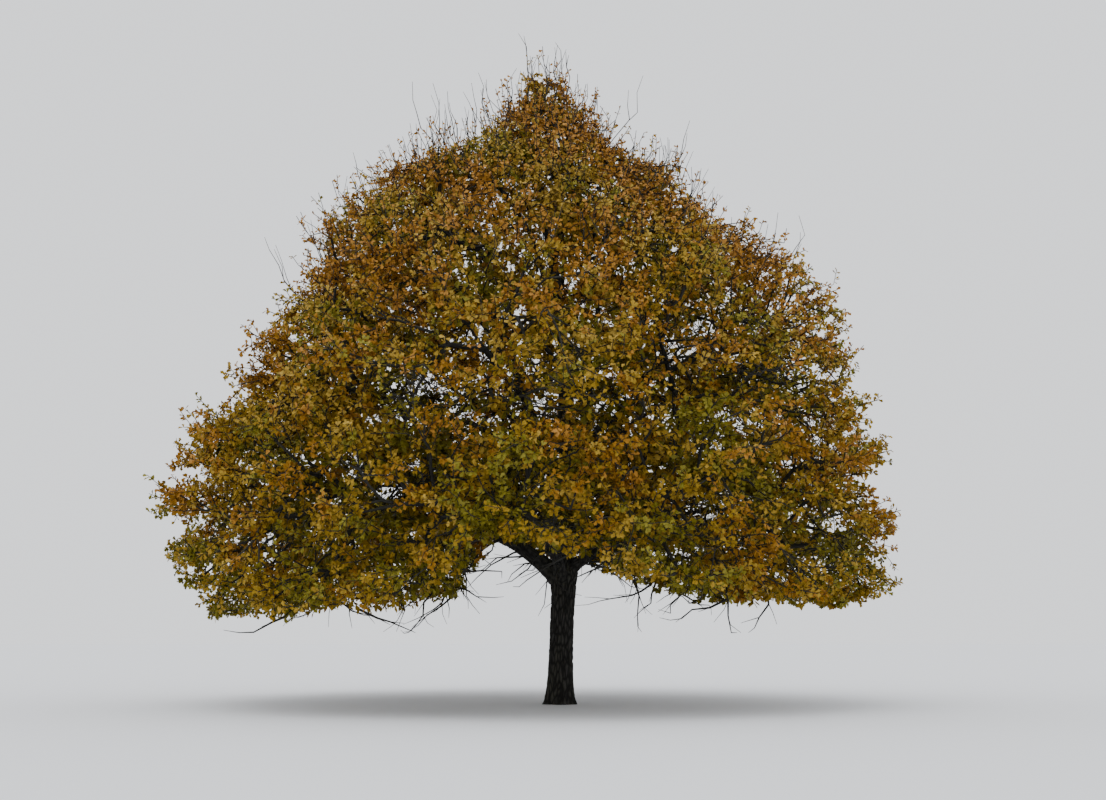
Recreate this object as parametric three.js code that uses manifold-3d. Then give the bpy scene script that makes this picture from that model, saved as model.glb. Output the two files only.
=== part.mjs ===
// An open-grown oak in autumn leaf: trunk, leader, boughs and separate masses of foliage.
// Millimetres, +Z up, +X to the right of the view, the trunk's foot at the origin.

import * as THREE from "three";
import { ConvexGeometry } from "three/addons/geometries/ConvexGeometry.js";
import { mergeVertices } from "three/addons/utils/BufferGeometryUtils.js";
import Module from "manifold-3d";

const wasm = await Module();
wasm.setup();

// The crown
const TREE_HEIGHT = 14900; // to the tips of the bare shoots
const LEAF_TOP = 14250;
const CROWN_RADIUS = 8050;
const CROWN_SHIFT = -760; // the crown's middle lies left of the trunk at its widest
const CROWN_SHIFT_TOP = -450;
const WIDEST_HEIGHT = 4000;
const SKIRT_TUCK = 0.05; // share of the radius that the crown draws in at its hem
const HEM_HEIGHT = 2080; // where grazing stops the foliage
const ARCH_HEIGHT = 3150; // the hem lifts to an arch in front of the fork and behind it
const ARCH_MIDDLE = -450;
const ARCH_SIDES = [1100, 2500]; // distances left and right between which the hem comes down

// The trunk
const TRUNK_RADIUS = 255;
const FORK_HEIGHT = 3120;
const TRUNK_LEAN = 80; // how far right its top stands
const FLARE = 0.4; // added share of the radius at the ground
const FLARE_FADE = 380;
const ROOT_LOBES = 5;
const ROOT_LOBE_SHARE = 0.12;
const ROOT_LOBE_FADE = 260;
const FORK_SWELL = 0.25;
const FORK_SWELL_FADE = 260;
const FORK_SHOULDER = 2820; // above it the trunk narrows to the leader
const TRUNK_SIDES = 14;
const TRUNK_RINGS = 12;
const TRUNK_RING_CROWDING = 1.35; // rings lie closer together at the foot

// Limbs
const GAP = 0.3; // between solids that touch on the tree
const LEADER_RADII = [200, 50];
const LEADER_BOW = [420, 60];
const LEADER_HANDLES = [0.3, 0.75]; // shares of its height where the leader bows out and comes back
const LEADER_RINGS = 9;
const LIMB_SIDES = 6;
const LIMB_RINGS = 6;
const LIMB_TAPER_POWER = 0.8;
const LIMB_HANDLE = 0.36; // share of a bough's length over which it keeps its first and its last angle
const LIMB_CROOK = 0.035; // sideways wander as a share of a bough's length
const LIMB_CROOK_WAVES = [2.4, 3.1]; // half waves of the wander, sideways and up
const LIMB_CROOK_UP = 0.6; // wander up as a share of the wander sideways
const BOUGH_TIP_RADIUS = 40;
const BOUGH_ENTRY = 0.62; // share of a mass's reach at which its bough ends
const BOUGH_LEVELLING = 0.35; // how much of the slope counts on the way from the middle back to that end
const BOUGH_CLEARANCE = 150; // from the end of a bough to the border of its mass's space
const BOUGH_SEED = 900;
const JOIN_STRIDE = 3; // boughs of a tier leave at heights dealt in steps of this many
const SIDE_BOUGHS_AT = [0.3, 0.42, 0.55]; // shares of a bough's length where its side boughs leave
const SIDE_BOUGH_RISE = 0.5; // share of its tier's first angle at which a side bough leaves

// Masses
const PLACE_SEED = 7;
const PLACE_SEEDS_PER_TIER = 100;
const PLACE_TURN = 10; // degrees by which the turn of a mass may vary
const PLACE_OUT = 0.08; // share by which its distance from the middle may vary
const PLACE_UP = 1200; // range of the heights of the masses of a tier
const SEARCH_STEP = 50;

// Foliage: each blade stands for a spray of leaves
const FOLIAGE_SEED = 4000;
const FOLIAGE_SEED_STEP = 17;
const TARGETS_PER_MASS = 160; // at most, as some lead to a spray that has no room
const TARGET_CHOICES = 6; // points tried for each target, of which the loneliest is taken
const INNER_THINNING = [0.3, 0.5, 0.05]; // where sprays start, how soon they are full, the least share
const OUTWARD_PUSH = [0.1, 0.8]; // powers, dealt at random, that move targets towards the crown's surface
const SPACE_MARGIN = 12; // from a mass's own border
const CROWN_SLACK = 1.02; // how far past the crown's surface the corner of a spray may stand
const CLEARANCE = 2; // of twigs and sprays from limbs and from sprays that they don't carry
const SPRAY_LEAST = 0.7; // the shortest spray as a share of the tier's length
const SPRAY_STRETCH = 1.15; // a target further off, as a share of that length, gets a twig of its own
const SPRAY_WIDTH = 0.8;
const SPRAY_THICKNESS = 0.038;
const SPRAY_WIDEST = 0.52;
const SPRAY_RIDGE = 0.42;
const SPRAY_TILT = 0.6; // how far a spray's face may turn up against how far it may turn aside
const SPRAY_TURNS = 9; // tries to find room for a spray, each turned another way and a little shorter
const SPRAY_SINK = 0.4; // depth of a spray's root past the middle of its twig, as a share of the radius
const STEM_RADII = [36, 30];
const STEM_SHARE = 0.4; // of the way from the bough's tip to the middle of the mass
const TWIG_CORNERS = [90, 210, 330];
const TWIG_THINNING = 0.62; // radius of a twig as a share of the one that it leaves
const TWIG_TAPER = 0.8;
const TWIG_LEAST_RADIUS = 12;
const TWIG_KNOTS = [0.25, 0.5, 0.75, 1]; // shares of a twig's length at which others can leave it
const TWIG_BALANCE = 0.35; // cost of a long way back to the stem against a long new twig
const TURN_COST = 0.45; // cost of turning back
const SHOOT_TIP_RADIUS = 7;
const SHOOT_LENGTH = 900; // of the shortest shoot, and the longest is twice as long
const SHOOT_LEAN = 500;

// Openings that show sky from the front: x and z in the plane of the trunk, and radius.
// They widen from a viewpoint in front of the tree.
const VIEWPOINT = new THREE.Vector3(0, -34200, 1600);
const OPENINGS = [
  [-2230, 9370, 320],
  [390, 9580, 260],
  [2490, 8330, 480],
  [-110, 6000, 280],
  [3380, 4020, 400],
  [-4970, 4580, 360],
  [-6460, 4310, 260],
];

const FOLIAGE_COLOUR = 0x9a6a1c;
const BARK_COLOUR = 0x3b3630;

// Each tier is a ring of masses. out and up place their middles, reach is their half-size, flat squashes it.
// from says what each mass's bough leaves, between the heights of join if that is the trunk or the leader.
// angles are the rise of a bough in degrees where it leaves and where it arrives, and lift raises its end.
// radius is a bough's at its foot, for each mass that it carries. sprays is how many a mass has at most,
// spray is their length, and shoots is how many bare shoots stand above them.
const TIERS = [
  {
    name: "skirt", count: 9, turn: 20, out: 5900, up: 3950, reach: 3700, flat: 0.9,
    radius: 100, angles: [46, 4], lift: 450, join: [2560, 2860],
    from: ["skirt_9", "skirt_3", "trunk", "skirt_5", "trunk", "skirt_5", "trunk", "skirt_7", "trunk"],
    sprays: 17, spray: 1850, shoots: 0,
  },
  {
    name: "heart", count: 3, turn: 150, out: 2750, up: 4800, reach: 2100, flat: 0.8,
    radius: 62, angles: [35, 20], lift: 0, join: [3350, 3900],
    from: ["leader", "leader", "leader"],
    sprays: 9, spray: 1700, shoots: 0, isInner: true,
  },
  {
    name: "middle", count: 7, turn: 0, out: 4950, up: 6800, reach: 3700, flat: 0.85,
    radius: 75, angles: [58, 22], lift: 0, join: [3900, 5200],
    from: ["upper_1", "upper_1", "leader", "upper_3", "skirt_5", "leader", "leader"],
    sprays: 17, spray: 1850, shoots: 0,
  },
  {
    name: "upper", count: 5, turn: 30, out: 3300, up: 9350, reach: 3300, flat: 0.88,
    radius: 75, angles: [66, 46], lift: 0, join: [3450, 6300],
    from: ["leader", "leader", "leader", "upper_3", "upper_1"],
    sprays: 16, spray: 1750, shoots: 0,
  },
  {
    name: "crest", count: 3, turn: 60, out: 2100, up: 11600, reach: 3000, flat: 0.9,
    radius: 62, angles: [62, 48], lift: 0, join: [8500, 9300],
    from: ["leader", "leader", "leader"],
    sprays: 13, spray: 1450, shoots: 1,
  },
  {
    name: "top", count: 1, turn: 0, out: 0, up: 13000, reach: 2200, flat: 1.1,
    from: ["trunk"],
    sprays: 11, spray: 1150, shoots: 3,
  },
];

function clamp(value, low, high) {
  return Math.min(high, Math.max(low, value));
}

function mix(a, b, share) {
  return a + (b - a) * share;
}

function smooth(value, low, high) {
  const t = clamp((value - low) / (high - low), 0, 1);
  return t * t * (3 - 2 * t);
}

// A repeatable stream of numbers from 0 to 1
function seeded(seed) {
  let state = Math.imul(seed, 2654435761) >>> 0;
  return () => {
    state = (Math.imul(state, 1664525) + 1013904223) >>> 0;
    return state / 4294967296;
  };
}

// A unit vector at an azimuth from +X and an elevation, both in degrees
function direction(azimuth, elevation) {
  const a = THREE.MathUtils.degToRad(azimuth);
  const e = THREE.MathUtils.degToRad(elevation);
  return new THREE.Vector3(Math.cos(a) * Math.cos(e), Math.sin(a) * Math.cos(e), Math.sin(e));
}

function azimuthOf(vector) {
  return THREE.MathUtils.radToDeg(Math.atan2(vector.y, vector.x));
}

function crownShift(z) {
  return mix(CROWN_SHIFT, CROWN_SHIFT_TOP, clamp((z - WIDEST_HEIGHT) / (LEAF_TOP - WIDEST_HEIGHT), 0, 1));
}

// The crown's radius at a height: a parabola above its widest height, tucked in a little below
function crownRadius(z) {
  const above = clamp((z - WIDEST_HEIGHT) / (LEAF_TOP - WIDEST_HEIGHT), 0, 1);
  const below = clamp((WIDEST_HEIGHT - z) / (WIDEST_HEIGHT - HEM_HEIGHT), 0, 1);
  return CROWN_RADIUS * (1 - above * above) * (1 - SKIRT_TUCK * below * below);
}

// How far out a point lies in the crown, 1 at its surface, or more than 1 outside
function crownShare(point) {
  const hem = mix(ARCH_HEIGHT, HEM_HEIGHT, smooth(Math.abs(point.x - ARCH_MIDDLE), ...ARCH_SIDES));
  if (point.z < hem || point.z > LEAF_TOP) return Infinity;
  return Math.hypot(point.x - crownShift(point.z), point.y) / Math.max(crownRadius(point.z), 1);
}

// True in the openings, each a cone from the viewpoint
function inOpening(point) {
  const far = 1 - point.y / VIEWPOINT.y;
  const x = VIEWPOINT.x + (point.x - VIEWPOINT.x) / far;
  const z = VIEWPOINT.z + (point.z - VIEWPOINT.z) / far;
  return OPENINGS.some(([middleX, middleZ, radius]) => Math.hypot(x - middleX, z - middleZ) < radius);
}

// A closed mesh as a solid that can be joined and cut
function solidOf(geometry) {
  const bare = new THREE.BufferGeometry().setAttribute("position", geometry.getAttribute("position"));
  bare.setIndex(geometry.getIndex());
  const welded = mergeVertices(bare, 1e-3);
  return new wasm.Manifold(
    new wasm.Mesh({
      numProp: 3,
      vertProperties: welded.getAttribute("position").array,
      triVerts: new Uint32Array(welded.getIndex().array),
    }),
  );
}

function geometryOf(solid) {
  const { vertProperties, triVerts } = solid.getMesh();
  const geometry = new THREE.BufferGeometry();
  geometry.setAttribute("position", new THREE.BufferAttribute(vertProperties, 3));
  geometry.setIndex(new THREE.BufferAttribute(triVerts, 1));
  geometry.computeVertexNormals();
  return geometry;
}

// The largest single body of a solid, without scraps and sealed hollows
function mainBody(solid) {
  return solid.decompose().reduce((best, body) => (body.volume() > best.volume() ? body : best));
}

// At each of a line of points, two unit vectors square to the line that turn as little as they can
function framesAlong(points) {
  let side = null;
  return points.map((_, i) => {
    const before = points[Math.max(i - 1, 0)];
    const after = points[Math.min(i + 1, points.length - 1)];
    const along = after.clone().sub(before).normalize();
    const guess = side ?? (Math.abs(along.z) > 0.9 ? new THREE.Vector3(1, 0, 0) : new THREE.Vector3(0, 0, 1));
    side = guess.clone().addScaledVector(along, -guess.dot(along)).normalize();
    return { side, other: side.clone().cross(along) };
  });
}

// A closed tapering tube through the points. swell(ring, angle) scales its radius.
function sweep(points, radii, sides, frames = framesAlong(points), swell = () => 1) {
  const rings = points.length - 1;
  const tube = new THREE.CylinderGeometry(1, 1, 1, sides, rings);
  const place = tube.getAttribute("position");
  for (let i = 0; i < place.count; i++) {
    const ring = Math.round((place.getY(i) + 0.5) * rings);
    const angle = Math.atan2(place.getX(i), place.getZ(i));
    const radius = radii[ring] * swell(ring, angle);
    const at = points[ring].clone();
    at.addScaledVector(frames[ring].side, place.getX(i) * radius);
    at.addScaledVector(frames[ring].other, place.getZ(i) * radius);
    place.setXYZ(i, at.x, at.y, at.z);
  }
  return tube;
}

function trunkPoint(z) {
  return new THREE.Vector3(TRUNK_LEAN * smooth(z, 0, FORK_HEIGHT), 0, z);
}

function trunkRadius(z) {
  const flare = FLARE * Math.exp(-z / FLARE_FADE);
  const swell = FORK_SWELL * Math.exp(-(FORK_SHOULDER - Math.min(z, FORK_SHOULDER)) / FORK_SWELL_FADE);
  return mix(TRUNK_RADIUS * (1 + flare + swell), LEADER_RADII[0], smooth(z, FORK_SHOULDER, FORK_HEIGHT));
}

// Level rings with root lobes that fade upwards
function trunkSolid(grow) {
  const heights = Array.from(
    { length: TRUNK_RINGS + 1 },
    (_, i) => FORK_HEIGHT * (i / TRUNK_RINGS) ** TRUNK_RING_CROWDING,
  );
  const points = heights.map(trunkPoint);
  points[TRUNK_RINGS].z += grow;
  const level = points.map(() => ({ side: new THREE.Vector3(1, 0, 0), other: new THREE.Vector3(0, -1, 0) }));
  const lobes = (ring, angle) =>
    1 + ROOT_LOBE_SHARE * Math.exp(-heights[ring] / ROOT_LOBE_FADE) * Math.cos(ROOT_LOBES * angle);
  return solidOf(sweep(points, heights.map((z) => trunkRadius(z) + grow), TRUNK_SIDES, level, lobes));
}

function taper([foot, tip], count) {
  return Array.from({ length: count }, (_, i) => mix(foot, tip, (i / (count - 1)) ** LIMB_TAPER_POWER));
}

// One tapering limb, cut back by a grown copy of each limb that it leaves or passes
function makeLimb(name, points, radii, earlier) {
  const widths = taper(radii, points.length);
  const grown = solidOf(sweep(points, widths.map((width) => width + GAP), LIMB_SIDES));
  const whole = solidOf(sweep(points, widths, LIMB_SIDES));
  const cut = earlier.reduce((left, limb) => left.subtract(limb.grown), whole);
  return { name, points, grown, solid: mainBody(cut) };
}

function pointAt(points, share) {
  const exact = share * (points.length - 1);
  const i = Math.min(Math.floor(exact), points.length - 2);
  return points[i].clone().lerp(points[i + 1], exact - i);
}

// Points of one bough: it leaves at the first angle, arrives at the second, and wanders sideways between
function boughPoints(start, end, angles, random) {
  const length = start.distanceTo(end);
  const azimuth = azimuthOf(end.clone().sub(start));
  const curve = new THREE.CubicBezierCurve3(
    start,
    start.clone().addScaledVector(direction(azimuth, angles[0]), LIMB_HANDLE * length),
    end.clone().addScaledVector(direction(azimuth, angles[1]), -LIMB_HANDLE * length),
    end,
  );
  const across = direction(azimuth + 90, 0);
  const phase = random() * Math.PI;
  return Array.from({ length: LIMB_RINGS + 1 }, (_, i) => {
    const share = i / LIMB_RINGS;
    const wander = LIMB_CROOK * length * Math.sin(Math.PI * share);
    const point = curve.getPoint(share);
    point.addScaledVector(across, wander * Math.sin(LIMB_CROOK_WAVES[0] * Math.PI * share + phase));
    point.z += LIMB_CROOK_UP * wander * Math.cos(LIMB_CROOK_WAVES[1] * Math.PI * share + phase);
    return point;
  });
}

// The leader leaves the trunk's flat top and bows to the right on its way to the top mass
function leaderPoints(end) {
  const start = trunkPoint(FORK_HEIGHT - LEADER_RADII[0]);
  const curve = new THREE.CubicBezierCurve3(
    start,
    new THREE.Vector3(start.x + LEADER_BOW[0], 0, mix(start.z, end.z, LEADER_HANDLES[0])),
    new THREE.Vector3(end.x + LEADER_BOW[0], LEADER_BOW[1], mix(start.z, end.z, LEADER_HANDLES[1])),
    end,
  );
  return curve.getPoints(LEADER_RINGS);
}

// The middles of all masses, tier by tier
function massPlaces() {
  return TIERS.flatMap((tier, t) =>
    Array.from({ length: tier.count }, (_, i) => {
      const random = seeded(PLACE_SEED + PLACE_SEEDS_PER_TIER * t + i);
      const azimuth = tier.turn + (360 * i) / tier.count + PLACE_TURN * (random() - 0.5);
      const middle = direction(azimuth, 0).multiplyScalar(tier.out * (1 + PLACE_OUT * (random() - 0.5)));
      middle.z = tier.up + (tier.count > 1 ? PLACE_UP * (random() - 0.5) : 0);
      middle.x += crownShift(middle.z);
      return { tier, number: i, label: tier.count > 1 ? `${tier.name}_${i + 1}` : tier.name, middle };
    }),
  );
}

// True if a point lies in the mass's own space, which is all that is nearer to its middle than to another's
function inOwnSpace(point, place, places, margin = SPACE_MARGIN) {
  return places.every((other) => {
    if (other === place) return true;
    const apart = other.middle.distanceTo(place.middle);
    const nearer = point.distanceToSquared(other.middle) - point.distanceToSquared(place.middle);
    return nearer / (2 * apart) > margin;
  });
}

// Where a mass's bough ends: on its way in, inside the mass's own space and short of its middle
function boughEnd(start, place, places) {
  const back = start.clone().sub(place.middle);
  back.z *= BOUGH_LEVELLING;
  back.normalize();
  const end = place.middle.clone();
  for (let gone = 0; gone < BOUGH_ENTRY * place.tier.reach; gone += SEARCH_STEP) {
    const next = end.clone().addScaledVector(back, SEARCH_STEP);
    if (!inOwnSpace(next, place, places, BOUGH_CLEARANCE)) break;
    end.copy(next);
  }
  end.z += place.tier.lift;
  return end;
}

// How many masses a bough carries, its own and those of its side boughs
function carriedBy(label, places) {
  const sides = places.filter((place) => place.tier.from[place.number] === label);
  return sides.reduce((sum, place) => sum + carriedBy(place.label, places), 1);
}

// Where a bough starts on the middle line of the limb that it leaves
function boughStart(tree, place) {
  const { tier, number } = place;
  const from = tier.from[number];
  const carrier = tree.places.find((other) => other.label === from);
  if (carrier) {
    const used = tree.sideCount.get(from) ?? 0;
    tree.sideCount.set(from, used + 1);
    return pointAt(boughOf(tree, carrier).points, SIDE_BOUGHS_AT[used]);
  }
  const height = mix(...tier.join, ((number * JOIN_STRIDE) % tier.count) / (tier.count - 1));
  if (from === "trunk") return trunkPoint(height);
  const points = tree.leader.points;
  const [low, high] = [points[0].z, points[LEADER_RINGS].z];
  return pointAt(points, clamp((height - low) / (high - low), 0, 1));
}

// The bough of a mass, made after the limb that it leaves
function boughOf(tree, place) {
  const { tier, number, label } = place;
  if (tree.boughs.has(label)) return tree.boughs.get(label);
  const start = boughStart(tree, place);
  const end = boughEnd(start, place, tree.places);
  const rise = tree.boughs.has(tier.from[number]) ? SIDE_BOUGH_RISE : 1;
  const random = seeded(BOUGH_SEED + tree.places.indexOf(place));
  const points = boughPoints(start, end, [tier.angles[0] * rise, tier.angles[1]], random);
  const radii = [tier.radius * Math.sqrt(carriedBy(label, tree.places)), BOUGH_TIP_RADIUS];
  const bough = makeLimb(`${tier.name}_bough_${number + 1}`, points, radii, tree.limbs);
  tree.limbs.push(bough);
  tree.boughs.set(label, bough);
  return bough;
}

// Trunk, leader and one bough for each mass. The leader is the bough of the top mass.
function makeLimbs(places) {
  const trunk = { name: "trunk", grown: trunkSolid(GAP), solid: trunkSolid(0) };
  const top = places.find((place) => place.tier.name === "top");
  const topEnd = top.middle.clone().setZ(top.middle.z - BOUGH_ENTRY * top.tier.reach);
  const leader = makeLimb("leader", leaderPoints(topEnd), LEADER_RADII, [trunk]);
  const boughs = new Map([[top.label, leader]]);
  const tree = { places, leader, limbs: [trunk, leader], boughs, sideCount: new Map() };
  places.forEach((place) => boughOf(tree, place));
  return tree;
}

// A seeded point in the mass's part of the crown, more often near the crown's surface
function leafyPoint(place, places, random) {
  for (;;) {
    const { reach, flat } = place.tier;
    const offset = new THREE.Vector3(random() * 2 - 1, random() * 2 - 1, random() * 2 - 1);
    const keep = random();
    const power = place.tier.isInner ? 1 : mix(...OUTWARD_PUSH, random());
    if (offset.length() > 1) continue;
    const point = place.middle.clone().add(offset.multiply(new THREE.Vector3(reach, reach, reach * flat)));
    const share = crownShare(point);
    const [first, full, least] = INNER_THINNING;
    if (share > 1 || keep > clamp((share - first) / full, least, 1)) continue;
    const shift = crownShift(point.z);
    const push = share ** (power - 1);
    point.set(shift + (point.x - shift) * push, point.y * push, point.z);
    if (!inOpening(point) && inOwnSpace(point, place, places)) return point;
  }
}

// The furthest point of the crown straight out from the mass's middle, or up from the top mass
function outermostPoint(place, places) {
  const out = place.tier.out ? place.middle.clone().setZ(0).normalize() : new THREE.Vector3(0, 0, 1);
  const point = place.middle.clone();
  for (;;) {
    const next = point.clone().addScaledVector(out, SEARCH_STEP);
    if (crownShare(next) > 1 || !inOwnSpace(next, place, places)) return point;
    point.copy(next);
  }
}

// The loneliest of a few points of the mass, seen from the targets so far
function nextTarget(place, places, targets, random) {
  const choices = Array.from({ length: TARGET_CHOICES }, () => leafyPoint(place, places, random));
  const lonely = (point) => Math.min(...targets.map((other) => other.distanceTo(point)));
  return choices.reduce((best, point) => (lonely(point) > lonely(best) ? point : best));
}

// The knot from which a target is cheapest to reach
function cheapestKnot(target, knots) {
  const cost = (knot) => {
    const way = target.clone().sub(knot.at);
    const turn = 1 - way.clone().normalize().dot(knot.along);
    return way.length() * (1 + TURN_COST * turn) + TWIG_BALANCE * knot.way;
  };
  return knots.reduce((best, knot) => (cost(knot) < cost(best) ? knot : best), knots[0]);
}

// A spray as a thin blade, ridged on top, one unit long on +Y with its root at the origin
const SPRAY = new ConvexGeometry([
  new THREE.Vector3(0, 0, 0),
  new THREE.Vector3(-SPRAY_WIDTH / 2, SPRAY_WIDEST, 0),
  new THREE.Vector3(SPRAY_WIDTH / 2, SPRAY_WIDEST, 0),
  new THREE.Vector3(0, 1, 0),
  new THREE.Vector3(0, SPRAY_RIDGE, SPRAY_THICKNESS),
]);

// A spray with its root sunk in a twig, turned about its length at random
function sprayAt(root, heading, length, sink, random) {
  const face = new THREE.Vector3(random() - 0.5, random() - 0.5, SPRAY_TILT * random());
  const side = heading.clone().cross(face).normalize();
  const place = new THREE.Matrix4().makeBasis(side, heading, side.clone().cross(heading));
  place.scale(new THREE.Vector3(length, length, length));
  place.setPosition(root.clone().addScaledVector(heading, -sink));
  return SPRAY.clone().applyMatrix4(place);
}

function cornersOf(geometry) {
  const place = geometry.getAttribute("position");
  return Array.from({ length: place.count }, (_, i) => new THREE.Vector3().fromBufferAttribute(place, i));
}

function touches(solid, others) {
  return others.some((other) => solid.minGap(other, CLEARANCE) < CLEARANCE);
}

// A straight three-sided twig
function twigBetween(start, end, radii) {
  const along = end.clone().sub(start).normalize();
  const side = new THREE.Vector3(0, 0, 1).cross(along).normalize();
  const other = along.clone().cross(side);
  const ring = (middle, radius) =>
    TWIG_CORNERS.map((degrees) => {
      const angle = THREE.MathUtils.degToRad(degrees);
      const corner = middle.clone().addScaledVector(side, radius * Math.cos(angle));
      return corner.addScaledVector(other, radius * Math.sin(angle));
    });
  return new ConvexGeometry([...ring(start, radii[0]), ...ring(end, radii[1])]);
}

// Places on a twig from which sprays and further twigs can leave
function knotsAlong(twig, start, end, radii, way) {
  const along = end.clone().sub(start).normalize();
  const length = start.distanceTo(end);
  return TWIG_KNOTS.map((share) => ({
    twig,
    at: start.clone().lerp(end, share),
    along,
    radius: mix(...radii, share),
    way: way + share * length,
    free: true,
  }));
}

// The stem of a mass, straight on from its bough's tip
function startMass(tree, place) {
  const points = tree.boughs.get(place.label).points;
  const tip = points[points.length - 1];
  const along = tip.clone().sub(points[points.length - 2]).normalize();
  const foot = tip.clone().addScaledVector(along, GAP);
  const end = tip.clone().addScaledVector(along, STEM_SHARE * tip.distanceTo(place.middle));
  const stem = solidOf(twigBetween(foot, end, STEM_RADII));
  return {
    place,
    places: tree.places,
    limbs: tree.limbs.map((limb) => limb.solid),
    random: seeded(FOLIAGE_SEED + FOLIAGE_SEED_STEP * tree.places.indexOf(place)),
    twigs: [stem],
    sprays: [],
    knots: knotsAlong(stem, foot, end, STEM_RADII, 0).slice(1),
  };
}

// Grows a twig from a knot and gives the knot at its end, or nothing where there is no room
function growTwig(mass, from, to, tipRadius) {
  const radius = Math.max(from.radius * TWIG_THINNING, TWIG_LEAST_RADIUS / TWIG_TAPER);
  const radii = [radius, tipRadius ?? radius * TWIG_TAPER];
  const geometry = twigBetween(from.at, to, radii);
  if (!cornersOf(geometry).every((corner) => inOwnSpace(corner, mass.place, mass.places))) return null;
  const twig = solidOf(geometry);
  if (touches(twig, mass.limbs) || touches(twig, mass.sprays)) return null;
  mass.twigs.push(twig);
  from.free = false;
  const knots = knotsAlong(twig, from.at, to, radii, from.way);
  mass.knots.push(...knots);
  return knots[knots.length - 1];
}

// Grows a spray from a knot towards a target, if it keeps to its space and touches only its own twig
function growSpray(mass, knot, target, most) {
  const { place, places } = mass;
  const way = target.clone().sub(knot.at);
  const length = clamp(way.length(), SPRAY_LEAST * place.tier.spray, most);
  const geometry = sprayAt(knot.at, way.normalize(), length, SPRAY_SINK * knot.radius, mass.random);
  const fits = (corner) => crownShare(corner) < CROWN_SLACK && inOwnSpace(corner, place, places);
  if (!cornersOf(geometry).every((corner) => fits(corner) && !inOpening(corner))) return;
  const spray = solidOf(geometry);
  const others = mass.twigs.filter((twig) => twig !== knot.twig);
  if (touches(spray, [...mass.limbs, ...mass.sprays, ...others])) return;
  mass.sprays.push(spray);
  knot.free = false;
}

// Leads a spray to a target, on a twig of its own if the target is far from every free knot
function growTowards(mass, target) {
  const longest = mass.place.tier.spray;
  let knot = cheapestKnot(target, mass.knots.filter((one) => one.free));
  if (!knot || knot.at.distanceTo(target) > SPRAY_STRETCH * longest) {
    const from = cheapestKnot(target, mass.knots);
    const heading = target.clone().sub(from.at).normalize();
    knot = growTwig(mass, from, target.clone().addScaledVector(heading, -longest));
  }
  for (let turn = 0; knot?.free && turn < SPRAY_TURNS; turn++) {
    growSpray(mass, knot, target, longest * mix(1, SPRAY_LEAST, turn / (SPRAY_TURNS - 1)));
  }
}

// Bare shoots above the leaves. The first on the top mass reaches the tree's height.
function addShoots(mass) {
  const { tier } = mass.place;
  let left = tier.shoots;
  [...mass.knots].sort((a, b) => b.at.z - a.at.z).forEach((knot) => {
    if (!left) return;
    const lean = new THREE.Vector3(mass.random() - 0.5, mass.random() - 0.5, 0);
    const tip = knot.at.clone().addScaledVector(lean, SHOOT_LEAN);
    const height = Math.min(knot.at.z + SHOOT_LENGTH * (1 + mass.random()), TREE_HEIGHT - SHOOT_LEAN);
    tip.z = tier.name === "top" && left === tier.shoots ? TREE_HEIGHT : height;
    if (growTwig(mass, knot, tip, SHOOT_TIP_RADIUS)) left -= 1;
  });
}

// One mass: a stem from its bough's tip, twigs that fork from it towards their targets, and a spray at each
function makeMass(tree, place) {
  const mass = startMass(tree, place);
  const targets = [outermostPoint(place, tree.places)];
  while (mass.sprays.length < place.tier.sprays && targets.length < TARGETS_PER_MASS) {
    growTowards(mass, targets[targets.length - 1]);
    targets.push(nextTarget(place, tree.places, targets, mass.random));
  }
  addShoots(mass);
  return mainBody(wasm.Manifold.union([...mass.twigs, ...mass.sprays]));
}

function meshOf(name, solid, material) {
  const mesh = new THREE.Mesh(geometryOf(solid), material);
  mesh.name = name;
  return mesh;
}

function makeTree() {
  const bark = new THREE.MeshStandardMaterial({ color: BARK_COLOUR, roughness: 0.95, metalness: 0 });
  const leaf = new THREE.MeshStandardMaterial({ color: FOLIAGE_COLOUR, roughness: 0.7, metalness: 0 });
  const tree = makeLimbs(massPlaces());
  const wood = new THREE.Group();
  wood.add(...tree.limbs.map((limb) => meshOf(limb.name, limb.solid, bark)));
  const foliage = new THREE.Group();
  foliage.add(...tree.places.map((place) => meshOf(`${place.label}_foliage`, makeMass(tree, place), leaf)));
  return new THREE.Group().add(wood, foliage);
}

export default makeTree();
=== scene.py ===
# An open-grown oak in autumn leaf, grown on from its packed limbs with bark, fine twigs and leaves.
# Metres, +Z up, +X to the right of the view, the middle of the trunk's foot at the origin.

import math

import bpy
import numpy as np
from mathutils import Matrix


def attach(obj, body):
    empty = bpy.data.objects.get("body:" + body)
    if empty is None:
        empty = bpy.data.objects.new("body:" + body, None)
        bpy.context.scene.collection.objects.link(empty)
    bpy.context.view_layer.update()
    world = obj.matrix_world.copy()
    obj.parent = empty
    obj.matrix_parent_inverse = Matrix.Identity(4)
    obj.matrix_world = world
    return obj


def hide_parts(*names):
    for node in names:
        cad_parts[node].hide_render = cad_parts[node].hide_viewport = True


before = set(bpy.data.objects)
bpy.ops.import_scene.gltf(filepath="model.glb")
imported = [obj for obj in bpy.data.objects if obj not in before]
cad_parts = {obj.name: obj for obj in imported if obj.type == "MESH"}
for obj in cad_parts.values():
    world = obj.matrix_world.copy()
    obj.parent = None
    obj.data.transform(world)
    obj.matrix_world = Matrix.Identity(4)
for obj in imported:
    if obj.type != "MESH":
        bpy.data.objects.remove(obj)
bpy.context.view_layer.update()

UP = np.array([0.0, 0.0, 1.0])
NOT_QUITE_UP = UP + 1e-3  # no limb or twig runs along it
TINY = 1e-6  # the least length that anything is divided by
NEAR_AXIS = 0.001  # the least distance from the crown's middle that counts

# The solids' stream of random numbers
STREAM_SEED_FACTOR = 2654435761
STREAM_FACTOR = 1664525
STREAM_STEP = 1013904223
STREAM_RANGE = 2**32

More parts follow.
